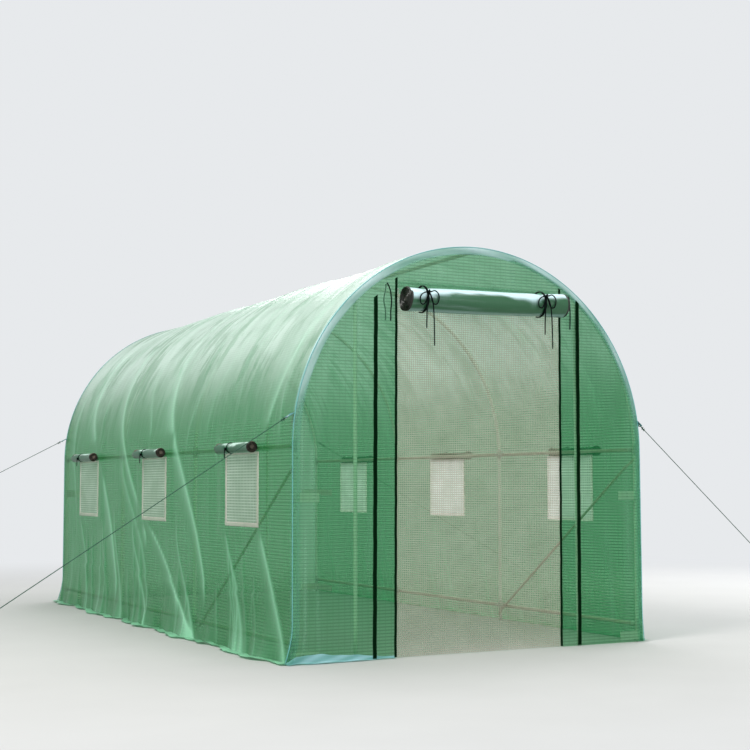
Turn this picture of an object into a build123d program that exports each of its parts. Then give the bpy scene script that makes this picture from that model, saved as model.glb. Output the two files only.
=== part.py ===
from build123d import *
from math import cos, radians, sin, sqrt, tan
import os

# Polytunnel greenhouse: a steel tube frame under a sewn sheet cover, sizes in millimetres.
# The door end faces -Y, the tunnel runs along Y and the ground is z = 0.

# Overall
tunnel_width = 2000.0
tunnel_length = 4000.0
leg_height = 1000.0
bays = 3
sheet = 4.0
sheet_gap = 4.5

# Frame
tube_d = 19.0
tube_sides = 6
mid_rail_z = 1000.0
base_rail_z = 90.0
fitting_d = 24.0
fitting_gap = 0.6
sleeve_reach = 28.0
socket_reach = 42.0
socket_floor = 13.0
rail_end_gap = 0.5
brace_d = 14.0
brace_inset = 20.0
brace_top_z = 945.0
brace_foot_z = 38.0
brace_tab = 22.0
brace_tab_past = 8.0
brace_neck = 38.0
brace_tab_thickness = 2.0
brace_tab_width = 16.0
brace_hole_d = 6.0
left_door_post_x = -668.0
right_door_post_x = 606.0
back_post_x = 566.0
cope_gap = 0.4

# Cover
hem_kick_z = 160.0
hem_kick = 50.0
window_width = 435.0
window_height = 365.0
window_sill_z = 615.0
window_y = (-1370.0, 0.0, 1370.0)
net_thickness = 2.0
roll_sides = 12
window_roll_d = 56.0
window_roll_length = 440.0
window_roll_z = 1005.0
window_flap_top = 1045.0

# Door end: the door stands a little right of the middle
door_x = 25.0
inner_zip_out = 479.0
outer_zip_out = 587.0
inner_zip_width = 18.0
outer_zip_width = 24.0
edge_band = 56.0
zip_bead = 8.0
zip_thickness = 7.0
zip_foot = 4.0
door_head_z = 1765.0
door_roll_d = 127.0
door_roll_length = 920.0
door_roll_x = 17.0
door_roll_z = 1718.0
door_flap_top = 1802.0
door_flap = 4.0
door_roll_seam = 32.0

# Ties: a band round each roll with a knot in front, bows on the door, and tails that hang down.
# A door knot is placed by its X and by its rise above the roll's axis.
tie_d = 6.0
tie_gap = 0.5
tie_sides = 4
bend_share = 0.45
band_width = 7.0
band_thickness = 3.0
door_knots = ((-350.0, 18.0), (328.0, 38.0))
door_knot = (20.0, 14.0)
window_tie_d = 5.0
window_tie_along = 60.0
window_knot_rise = -4.0
window_knot = (14.0, 11.0)
knot_chamfer = 4.0
knot_front = 10.0

# Guy ropes and ground pegs
rope_d = 4.0
rope_sides = 6
tab_z = 1150.0
tab_width = 34.0
tab_length = 42.0
tab_thickness = 3.0
tab_corner = 9.0
eyelet_d = 8.0
eyelet_in = 12.0
front_left_peg_out = 1800.0
front_right_peg_out = 1150.0
back_peg_out = 2100.0
peg_along = 150.0
peg_d = 7.0
peg_sides = 4
peg_length = 60.0
peg_lean = 20.0
peg_hook_r = 11.0
rope_foot_z = 40.0

# Straps that hold the cover to the corner legs
strap_width = 44.0
strap_thickness = 2.0
strap_z = (36.0, 762.0)
strap_tail = 120.0
strap_sides = 8

# Worked out from the sizes above
half_width = tunnel_width / 2
half_length = tunnel_length / 2
inner_half = half_width - sheet
tube_r = tube_d / 2
arch_r = inner_half - sheet_gap - tube_r
end_y = half_length - sheet - sheet_gap - tube_r
bay = 2 * end_y / bays
arch_y = [-end_y + bay * k for k in range(bays + 1)]
ridge_z = leg_height + arch_r
rail_inset = socket_floor + rail_end_gap

os.makedirs("parts", exist_ok=True)


def save(part, name):
    part.label = name
    export_step(part, f"parts/{name}.step")


def facing_front(y):
    """The upright plane at y, looking out of the door end: local x is X and local y is Z."""
    return Plane.XZ.offset(-y)


def across_flats(size, sides, mode=Mode.ADD):
    """A tube or roll is drawn with a few flat sides, and its size is the one across the flats."""
    return RegularPolygon(size / 2, sides, major_radius=False, rotation=180 / sides, mode=mode)


def bent_tube(y, size):
    """Two straight legs with a half-round bow between them, all one tube of that size."""
    with BuildPart() as form:
        with BuildSketch():
            with Locations((-arch_r, y), (arch_r, y)):
                across_flats(size, tube_sides)
        extrude(amount=leg_height)
        with BuildSketch(Plane.XY.offset(leg_height)):
            with Locations((arch_r, y)):
                across_flats(size, tube_sides)
        revolve(axis=Axis((0, y, leg_height), (0, -1, 0)), revolution_arc=180)
    return form.part


# Arches: each is one bent tube
for name, y in zip(("front_arch", "second_arch", "third_arch", "back_arch"), arch_y):
    with BuildPart() as arch:
        add(bent_tube(y, tube_d))
    save(arch.part, name)

# Rails: a straight tube in each bay, its ends in the sockets of the fittings
for name, x, z, turn in (
    ("ridge_rail", 0, ridge_z, 90),
    ("left_mid_rail", -arch_r, mid_rail_z, 0),
    ("right_mid_rail", arch_r, mid_rail_z, 0),
    ("left_base_rail", -arch_r, base_rail_z, 0),
    ("right_base_rail", arch_r, base_rail_z, 0),
):
    with BuildPart() as rail:
        for y in arch_y[1:]:
            with BuildSketch(facing_front(y - rail_inset)):
                with Locations(Location((x, z, 0), turn)):
                    across_flats(tube_d, tube_sides)
            extrude(amount=bay - 2 * rail_inset)
    save(rail.part, name)


# Fittings: a sleeve round the arch, with a socket for the rail on one or both sides
def fitting(socket_sides):
    bore = tube_d + 2 * fitting_gap
    with BuildPart() as piece:
        with BuildSketch(Plane.XY.offset(-sleeve_reach)):
            across_flats(fitting_d, tube_sides)
        extrude(amount=2 * sleeve_reach)
        for side in socket_sides:
            with BuildSketch(Plane((0, 0, 0), x_dir=(1, 0, 0), z_dir=(0, side, 0))):
                across_flats(fitting_d, tube_sides)
            extrude(amount=socket_reach)
        with BuildSketch(Plane.XY.offset(-sleeve_reach)):
            across_flats(bore, tube_sides)
        extrude(amount=2 * sleeve_reach, mode=Mode.SUBTRACT)
        for side in socket_sides:
            floor = Plane((0, side * socket_floor, 0), x_dir=(1, 0, 0), z_dir=(0, side, 0))
            with BuildSketch(floor):
                across_flats(bore, tube_sides)
            extrude(amount=socket_reach, mode=Mode.SUBTRACT)
    return piece.part


tee = fitting((1,))
cross = fitting((-1, 1))
for name, places, upright in (
    ("ridge_fittings", ((0, ridge_z),), False),
    ("mid_rail_fittings", ((-arch_r, mid_rail_z), (arch_r, mid_rail_z)), True),
    ("base_rail_fittings", ((-arch_r, base_rail_z), (arch_r, base_rail_z)), True),
):
    tip = 0 if upright else 90
    with BuildPart() as fittings:
        for x, z in places:
            with Locations(Location((x, arch_y[0], z), (0, tip, 0))):
                add(tee)
            for y in arch_y[1:-1]:
                with Locations(Location((x, y, z), (0, tip, 0))):
                    add(cross)
            with Locations(Location((x, arch_y[-1], z), (0, tip, 180))):
                add(tee)
    save(fittings.part, name)

# Braces in the door bay: a tube whose ends are pressed flat and bolted to the legs
brace_x = arch_r - brace_inset
tab_x = arch_r - tube_r - cope_gap - brace_tab_thickness / 2
brace_top = Vector(brace_x, arch_y[0], brace_top_z)
brace_foot = Vector(brace_x, arch_y[1], brace_foot_z)
brace_way = (brace_foot - brace_top).normalized()
brace_span = (brace_foot - brace_top).length


def across_brace(distance):
    """The plane across the brace that far down it: local x is X."""
    return Plane(brace_top + brace_way * distance, x_dir=(1, 0, 0), z_dir=brace_way)


def pressed_flat():
    """The section of a brace's flattened end, with a corner for each corner of the tube."""
    half_tab = brace_tab_thickness / 2
    shoulder = brace_tab_width / 2 - half_tab * tan(radians(180 / tube_sides))
    with BuildSketch() as section:
        with BuildLine():
            Polyline(
                (half_tab, shoulder),
                (0, brace_tab_width / 2),
                (-half_tab, shoulder),
                (-half_tab, -shoulder),
                (0, -brace_tab_width / 2),
                (half_tab, -shoulder),
                close=True,
            )
        make_face()
    return section.sketch


with BuildPart() as right_brace:
    with BuildSketch(across_brace(brace_tab + brace_neck)):
        across_flats(brace_d, tube_sides)
    extrude(amount=brace_span - 2 * (brace_tab + brace_neck))
    for tab_end, neck_end in (
        (brace_tab, brace_tab + brace_neck),
        (brace_span - brace_tab, brace_span - brace_tab - brace_neck),
    ):
        with BuildSketch(across_brace(tab_end)):
            with Locations((tab_x - brace_x, 0)):
                add(pressed_flat())
        with BuildSketch(across_brace(neck_end)):
            across_flats(brace_d, tube_sides)
        loft(ruled=True)
    for tab_start in (-brace_tab_past, brace_span - brace_tab):
        with BuildSketch(across_brace(tab_start)):
            with Locations((tab_x - brace_x, 0)):
                add(pressed_flat())
        extrude(amount=brace_tab + brace_tab_past)
    for bolt in (brace_top, brace_foot):
        with BuildSketch(Plane((brace_x, bolt.Y, bolt.Z), z_dir=(1, 0, 0))):
            across_flats(brace_hole_d, tube_sides)
        extrude(amount=brace_inset, mode=Mode.SUBTRACT)
save(right_brace.part, "right_brace")

with BuildPart() as left_brace:
    add(right_brace.part)
    mirror(about=Plane.YZ, mode=Mode.REPLACE)
save(left_brace.part, "left_brace")

# Posts: upright tubes whose tops are coped to the underside of the end arches
for name, x, y in (
    ("left_door_post", left_door_post_x, arch_y[0]),
    ("right_door_post", right_door_post_x, arch_y[0]),
    ("left_back_post", -back_post_x, arch_y[-1]),
    ("right_back_post", back_post_x, arch_y[-1]),
):
    with BuildPart() as post:
        with BuildSketch():
            with Locations((x, y)):
                across_flats(tube_d, tube_sides)
        extrude(amount=leg_height + sqrt(arch_r**2 - x**2))
        add(bent_tube(y, tube_d + 2 * cope_gap), mode=Mode.SUBTRACT)
    save(post.part, name)

# Side walls: upright sheet with a hem that kicks outwards at the ground, and three windows
window_z = window_sill_z + window_height / 2
for name, side in (("left_wall", -1), ("right_wall", 1)):
    with BuildPart() as wall:
        with BuildSketch(facing_front(half_length)):
            with BuildLine():
                Polyline(
                    (side * half_width, leg_height),
                    (side * half_width, hem_kick_z),
                    (side * (half_width + hem_kick), 0),
                    (side * (inner_half + hem_kick), 0),
                    (side * inner_half, hem_kick_z),
                    (side * inner_half, leg_height),
                    close=True,
                )
            make_face()
        extrude(amount=tunnel_length)
        with BuildSketch(Plane((0, 0, 0), x_dir=(0, 1, 0), z_dir=(side, 0, 0))):
            with Locations(*[(y, side * window_z) for y in window_y]):
                Rectangle(window_width, window_height)
        extrude(amount=half_width + sheet, mode=Mode.SUBTRACT)
    save(wall.part, name)

# Roof: the half-round stretch of the cover, in two quarters that meet at the ridge
for name, side in (("left_roof", -1), ("right_roof", 1)):
    with BuildPart() as roof:
        with BuildSketch(facing_front(half_length)):
            with BuildLine():
                outer_mid = half_width * sin(radians(45))
                inner_mid = inner_half * sin(radians(45))
                ThreePointArc(
                    (side * half_width, leg_height),
                    (side * outer_mid, leg_height + outer_mid),
                    (0, leg_height + half_width),
                )
                Line((0, leg_height + half_width), (0, leg_height + inner_half))
                ThreePointArc(
                    (0, leg_height + inner_half),
                    (side * inner_mid, leg_height + inner_mid),
                    (side * inner_half, leg_height),
                )
                Line((side * inner_half, leg_height), (side * half_width, leg_height))
            make_face()
        extrude(amount=tunnel_length)
    save(roof.part, name)


# End sheets: the outline inside the walls and roof, cut into the pieces that it is sewn from
def end_outline():
    with BuildSketch() as outline:
        with BuildLine():
            Polyline(
                (inner_half, leg_height),
                (inner_half, hem_kick_z),
                (inner_half + hem_kick, 0),
                (-inner_half - hem_kick, 0),
                (-inner_half, hem_kick_z),
                (-inner_half, leg_height),
            )
            ThreePointArc(
                (-inner_half, leg_height), (0, leg_height + inner_half), (inner_half, leg_height)
            )
        make_face()
    return outline.sketch


zips = (
    ("outer_left_zip", door_x - outer_zip_out, outer_zip_width),
    ("inner_left_zip", door_x - inner_zip_out, inner_zip_width),
    ("inner_right_zip", door_x + inner_zip_out, inner_zip_width),
    ("outer_right_zip", door_x + outer_zip_out, outer_zip_width),
)
zip_top_r = inner_half - edge_band


def zip_outline(x, width):
    """A zip from the ground up to the band sewn along the arch, its top cut to the band's curve."""
    with BuildSketch() as outline:
        with Locations((0, leg_height)):
            Circle(zip_top_r)
        with Locations((0, leg_height / 2)):
            Rectangle(2 * zip_top_r, leg_height)
        with Locations((x, leg_height)):
            Rectangle(width, 2 * leg_height, mode=Mode.INTERSECT)
    return outline.sketch


left_outer_x, left_inner_x, right_inner_x, right_outer_x = [x for _, x, _ in zips]
for name, x_from, x_to, z_from in (
    ("front_left_panel", -half_width - hem_kick, left_outer_x, 0),
    ("left_door_strip", left_outer_x, left_inner_x, 0),
    ("door_head", left_inner_x, right_inner_x, door_head_z),
    ("right_door_strip", right_inner_x, right_outer_x, 0),
    ("front_right_panel", right_outer_x, half_width + hem_kick, 0),
):
    with BuildPart() as panel:
        with BuildSketch(facing_front(-half_length + sheet)):
            with Locations(((x_from + x_to) / 2, (z_from + tunnel_width) / 2)):
                Rectangle(x_to - x_from, tunnel_width - z_from)
            add(end_outline(), mode=Mode.INTERSECT)
            for _, x, width in zips:
                add(zip_outline(x, width), mode=Mode.SUBTRACT)
        extrude(amount=sheet)
    save(panel.part, name)

with BuildPart() as back_wall:
    with BuildSketch(facing_front(half_length)):
        add(end_outline())
    extrude(amount=sheet)
save(back_wall.part, "back_wall")

# Door: a net panel zipped shut, and the sheet door rolled up and tied above it
net_door_half = inner_zip_out - inner_zip_width / 2
net_face_y = -half_length + (sheet - net_thickness) / 2
with BuildPart() as net_door:
    with BuildSketch(facing_front(net_face_y + net_thickness)):
        with Locations((door_x, (zip_foot + door_head_z) / 2)):
            Rectangle(2 * net_door_half, door_head_z - zip_foot)
    extrude(amount=net_thickness)
save(net_door.part, "net_door")

for name, x, width in zips:
    with BuildPart() as zip_strip:
        for part_width, depth in ((width, sheet), (zip_bead, zip_thickness)):
            with BuildSketch(facing_front(-half_length + sheet)):
                add(zip_outline(x, part_width))
            extrude(amount=depth)
        split(bisect_by=Plane.XY.offset(zip_foot), keep=Keep.TOP)
    save(zip_strip.part, name)

door_roll_y = -half_length - door_flap - door_roll_d / 2
with BuildPart() as rolled_door:
    with BuildSketch(Plane.YZ.offset(door_roll_x - door_roll_length / 2)):
        with Locations((door_roll_y, door_roll_z)):
            across_flats(door_roll_d, roll_sides)
        with Locations((-half_length - door_flap / 2, (door_roll_z + door_flap_top) / 2)):
            Rectangle(door_flap - 2 * cope_gap, door_flap_top - door_roll_z)
        with Locations((-half_length - door_flap, door_roll_z + door_roll_seam / 2)):
            Rectangle(door_flap, door_roll_seam)
    extrude(amount=door_roll_length)
save(rolled_door.part, "rolled_door")

# Windows: net sewn into each opening, and the sheet flap rolled up and tied above it
window_roll_x = half_width + sheet + window_roll_d / 2
for side_name, side in (("left", -1), ("right", 1)):
    with BuildPart() as nets:
        net_from = half_width - (sheet - net_thickness) / 2 - net_thickness
        with BuildSketch(Plane((side * net_from, 0, 0), x_dir=(0, 1, 0), z_dir=(side, 0, 0))):
            with Locations(*[(y, side * window_z) for y in window_y]):
                Rectangle(window_width, window_height)
        extrude(amount=net_thickness)
    save(nets.part, f"{side_name}_window_nets")

    with BuildPart() as rolls:
        for y in window_y:
            with BuildSketch(facing_front(y + window_roll_length / 2)):
                with Locations((side * window_roll_x, window_roll_z)):
                    across_flats(window_roll_d, roll_sides)
            extrude(amount=window_roll_length)
            with BuildSketch(facing_front(y + window_width / 2)):
                flap_x = side * (half_width + cope_gap + sheet / 2)
                with Locations((flap_x, (window_roll_z + window_flap_top) / 2)):
                    Rectangle(sheet, window_flap_top - window_roll_z)
            extrude(amount=window_width)
    save(rolls.part, f"{side_name}_window_rolls")

up = Vector(0, 0, 1)


def tie_reach(roll_d, cord_d):
    """How far in front of a roll's axis its cords hang: past the roll and the band."""
    return roll_d / 2 + 2 * tie_gap + band_thickness + cord_d / 2


def tie_band(centre, to_sheet, roll_d, cord_d, knot_rise, knot_size):
    """A band over, in front of and under a roll, open on the side of the sheet, and its knot."""
    along = to_sheet.cross(up)
    inner = roll_d + 2 * tie_gap
    front = -to_sheet
    knot_width, knot_height = knot_size
    with BuildPart() as band:
        with BuildSketch(Plane(centre - along * band_width / 2, x_dir=to_sheet, z_dir=along)):
            across_flats(inner + 2 * band_thickness, roll_sides)
            with Locations((roll_d / 2 - tie_gap - door_flap, 0)):
                Rectangle(
                    roll_d, 2 * roll_d, align=(Align.MIN, Align.CENTER), mode=Mode.SUBTRACT
                )
        extrude(amount=band_width)
        with BuildSketch(Plane(centre + up * knot_rise, x_dir=along, z_dir=front)) as knot:
            Rectangle(knot_width, knot_height)
            chamfer(knot.vertices(), knot_chamfer)
        extrude(amount=tie_reach(roll_d, cord_d) + knot_front)
        with BuildSketch(Plane(centre - along * knot_width, x_dir=to_sheet, z_dir=along)):
            across_flats(inner, roll_sides)
        extrude(amount=2 * knot_width, mode=Mode.SUBTRACT)
    return band.part


def cord(name, points, size):
    """A hanging cord: straight runs joined by arcs as large as the runs allow."""
    runs = [end - start for start, end in zip(points, points[1:])]
    radii = [
        bend_share * min(run.length, following.length) / tan(radians(run.get_angle(following) / 2))
        for run, following in zip(runs, runs[1:])
    ]
    with BuildPart() as form:
        with BuildLine() as route:
            FilletPolyline(*points, radius=radii)
        with BuildSketch(Plane(points[0], z_dir=runs[0].normalized())) as section:
            across_flats(size, tie_sides)
        sweep(path=route.wire())
    length = route.wire().length
    fill = form.part.volume / (section.sketch.area * length)
    print(f"{name}: {length:.0f} mm, bends {[round(r) for r in radii]}, volume ratio {fill:.3f}")
    return form.part


# Door ties: a band and a knot near each end of the roll, each with two loops and two tails
door_tie_y = door_roll_y - tie_reach(door_roll_d, tie_d)
with BuildPart() as door_tie_bands:
    for x, rise in door_knots:
        centre = Vector(x, door_roll_y, door_roll_z)
        add(tie_band(centre, Vector(0, 1, 0), door_roll_d, tie_d, rise, door_knot))
save(door_tie_bands.part, "door_tie_bands")

left_loop = ((-11, 2), (-28, -2), (-45, -16), (-50, -37), (-45, -57))
left_loop += ((-27, -60), (-17, -44), (-10, -26), (-8, -11))
right_loop = ((12, 3), (27, 12), (44, 6), (56, -11), (55, -34))
right_loop += ((46, -54), (28, -57), (17, -42), (13, -26), (8, -11))
left_bow_tails = (
    ((-3.5, -8.5), (-8, -28), (-12.5, -62), (-15.5, -100), (-17, -138), (-17.5, -174)),
    ((3.5, -8.5), (13, -26), (19.5, -56), (22.5, -98), (24, -150), (24.8, -204), (25, -257)),
)
right_bow_tails = (
    ((-3.5, -8.5), (-7.5, -28), (-11.5, -64), (-14.5, -106), (-16.3, -150), (-16.8, -193)),
    ((3.5, -8.5), (13.5, -26), (21, -56), (25, -99), (26.8, -152), (27.7, -208), (28, -263)),
)


def in_front(offsets, x, z, y):
    """Points given across and up from a place, all at one depth."""
    return [Vector(x + across, y, z + rise) for across, rise in offsets]


with BuildPart() as door_tie_loops:
    for (x, rise), side in zip(door_knots, ("left", "right")):
        for loop in (left_loop, right_loop):
            add(cord(f"{side} bow loop", in_front(loop, x, door_roll_z + rise, door_tie_y), tie_d))
save(door_tie_loops.part, "door_tie_loops")

bow_tail_y = door_tie_y - tie_d - tie_gap
with BuildPart() as door_tie_tails:
    for (x, rise), tails in zip(door_knots, (left_bow_tails, right_bow_tails)):
        for tail in tails:
            add(cord("bow tail", in_front(tail, x, door_roll_z + rise, bow_tail_y), tie_d))
save(door_tie_tails.part, "door_tie_tails")

# Spare ties hang on the strips between the zips: two outside and one inside the sheet
left_tie_outside = ((-505, 1790), (-494.5, 1773), (-487, 1752), (-484, 1728), (-481.5, 1702))
left_tie_outside += ((-483.5, 1678), (-487, 1653), (-486, 1629), (-487, 1606))
left_tie_inside = ((-506, 1786), (-507.5, 1764), (-513, 1738), (-519, 1713), (-517, 1689))
left_tie_inside += ((-510, 1666), (-508, 1637), (-510.3, 1609))
right_tie = ((558, 1787), (562, 1760), (564.5, 1725), (565, 1688), (564, 1650), (562, 1614))
with BuildPart() as spare_ties:
    for face, points in ((-1, left_tie_outside), (-1, right_tie), (1, left_tie_inside)):
        off_sheet = sheet / 2 + tie_gap + tie_d / 2
        y = -half_length + sheet / 2 + face * off_sheet
        add(cord("spare tie", in_front(points, 0, 0, y), tie_d))
save(spare_ties.part, "spare_ties")

# Window ties: one band, knot and tail on each rolled flap
window_tail = ((0, -6), (3, -29), (3.5, -52))
with BuildPart() as window_tie_bands:
    for side in (-1, 1):
        for y in window_y:
            centre = Vector(side * window_roll_x, y + window_tie_along, window_roll_z)
            to_sheet = Vector(-side, 0, 0)
            add(
                tie_band(
                    centre, to_sheet, window_roll_d, window_tie_d, window_knot_rise, window_knot
                )
            )
save(window_tie_bands.part, "window_tie_bands")

with BuildPart() as window_tie_tails:
    for side in (-1, 1):
        tail_x = side * (window_roll_x + tie_reach(window_roll_d, window_tie_d))
        for y in window_y:
            knot = Vector(tail_x, y + window_tie_along, window_roll_z + window_knot_rise)
            points = [knot + Vector(0, along, rise) for along, rise in window_tail]
            add(cord("window tie tail", points, window_tie_d))
save(window_tie_tails.part, "window_tie_tails")

# Guy ropes: a sewn tab on the arch, a taut rope and a hooked ground peg at each corner
corners = (
    ("front_left", -1, -1, front_left_peg_out),
    ("front_right", 1, -1, front_right_peg_out),
    ("back_left", -1, 1, back_peg_out),
    ("back_right", 1, 1, back_peg_out),
)
tab_rise = tab_z - leg_height
tab_skin_x = sqrt((half_width + tab_thickness) ** 2 - tab_rise**2)
peg_slope = tan(radians(peg_lean))


def guy_line(side, end, out):
    """Where the tab leaves the cover, where the rope meets the peg, and the way between."""
    start = Vector(side * tab_skin_x, end * end_y, tab_z)
    reach = half_width + out + rope_foot_z * peg_slope - peg_d / 2 - cope_gap
    foot = Vector(side * reach, end * (half_length + peg_along), rope_foot_z)
    return start, foot, (foot - start).normalized()


with BuildPart() as guy_tabs:
    for _, side, end, out in corners:
        start, foot, way = guy_line(side, end, out)
        flat = Plane(start, x_dir=way, z_dir=way.cross(Vector(0, 1, 0)))
        with BuildSketch(flat.offset(-tab_thickness / 2)) as tab:
            Rectangle(tab_length, tab_width, align=(Align.MIN, Align.CENTER))
            chamfer(tab.vertices().sort_by(Axis.X)[-2:], tab_corner)
            with Locations((tab_length - eyelet_in, 0)):
                across_flats(eyelet_d, rope_sides, mode=Mode.SUBTRACT)
        extrude(amount=tab_thickness)
save(guy_tabs.part, "guy_tabs")

for corner, side, end, out in corners:
    start, foot, way = guy_line(side, end, out)
    rope_start = start + way * (tab_length + cope_gap)
    rope_length = (foot - rope_start).length - 2 * cope_gap
    with BuildPart() as rope:
        with BuildSketch(Plane(rope_start, z_dir=way)):
            across_flats(rope_d, rope_sides)
        extrude(amount=rope_length)
    save(rope.part, f"{corner}_guy_rope")


def hooked_peg():
    """A peg standing upright at the origin: its shank runs into the ground and hooks over to +X."""
    with BuildPart() as peg:
        with BuildSketch(Plane.XY.offset(-peg_d)):
            across_flats(peg_d, peg_sides)
        extrude(amount=peg_d + peg_length)
        with BuildSketch(Plane.XY.offset(peg_length)):
            across_flats(peg_d, peg_sides)
        revolve(axis=Axis((peg_hook_r, 0, peg_length), (0, 1, 0)), revolution_arc=180)
    return peg.part


with BuildPart() as ground_pegs:
    for _, side, end, out in corners:
        foot = (side * (half_width + out), end * (half_length + peg_along), 0)
        with Locations(Location(foot, (0, side * peg_lean, 90 - 90 * side))):
            add(hooked_peg())
    split(bisect_by=Plane.XY, keep=Keep.TOP)
save(ground_pegs.part, "ground_pegs")

# Leg straps: a loop round each corner leg, with a loose tail along the end sheet
strap_r = tube_r / cos(radians(180 / tube_sides)) + cope_gap
with BuildPart() as leg_straps:
    for z in strap_z:
        for side in (-1, 1):
            for end in (-1, 1):
                with BuildSketch(Plane((side * arch_r, end * end_y, z - strap_width / 2))):
                    across_flats(2 * (strap_r + strap_thickness), strap_sides)
                    with Locations((-side * strap_tail / 2, end * (strap_r + strap_thickness / 2))):
                        Rectangle(strap_tail, strap_thickness)
                    across_flats(2 * strap_r, strap_sides, mode=Mode.SUBTRACT)
                extrude(amount=strap_width)
save(leg_straps.part, "leg_straps")
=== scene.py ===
import math

import bpy
import numpy as np
from mathutils import Matrix, Vector


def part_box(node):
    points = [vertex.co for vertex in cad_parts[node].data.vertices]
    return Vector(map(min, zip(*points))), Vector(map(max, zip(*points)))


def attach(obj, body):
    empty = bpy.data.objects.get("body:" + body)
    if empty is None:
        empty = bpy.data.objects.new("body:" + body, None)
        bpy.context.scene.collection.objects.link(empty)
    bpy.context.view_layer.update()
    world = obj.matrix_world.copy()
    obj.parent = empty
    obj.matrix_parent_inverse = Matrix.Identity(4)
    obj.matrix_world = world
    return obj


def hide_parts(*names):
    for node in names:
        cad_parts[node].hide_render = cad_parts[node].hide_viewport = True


# Polytunnel greenhouse, in metres: the door end faces -Y, the tunnel runs along Y, the ground is z = 0.
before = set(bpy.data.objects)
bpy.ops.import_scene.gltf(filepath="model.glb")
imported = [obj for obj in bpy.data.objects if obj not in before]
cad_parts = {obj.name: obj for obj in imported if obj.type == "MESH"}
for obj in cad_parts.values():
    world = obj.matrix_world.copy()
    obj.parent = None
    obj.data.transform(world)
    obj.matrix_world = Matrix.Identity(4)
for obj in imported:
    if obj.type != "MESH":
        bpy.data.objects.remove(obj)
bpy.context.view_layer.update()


def middle(node):
    """The middle of a CAD node's box: x, y and z."""
    return [(low + high) / 2 for low, high in zip(*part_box(node))]


# Sizes read from the frame
ARCHES = ("front_arch", "second_arch", "third_arch", "back_arch")
SIDES = (("left", -1), ("right", 1))
roof_low, roof_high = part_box("right_roof")
half_width, half_length, leg_height = roof_high.x, roof_high.y, roof_low.z
arch_y = [middle(name)[1] for name in ARCHES]
rail_low, rail_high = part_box("left_base_rail")
tube_r = (rail_high.x - rail_low.x) / 2
arch_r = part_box("front_arch")[1].x - tube_r
mid_rail_z, base_rail_z = leg_height, (rail_low.z + rail_high.z) / 2

# The cover
film_half = 0.002
cover_r = half_width - film_half
end_y = half_length - film_half
window_y = (-1.370, 0.0, 1.370)
window_half, window_low, window_high = 0.2175, 0.615, 0.980
arc_length = math.pi * cover_r
section_length = 2 * leg_height + arc_length
skirt = 0.07


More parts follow.
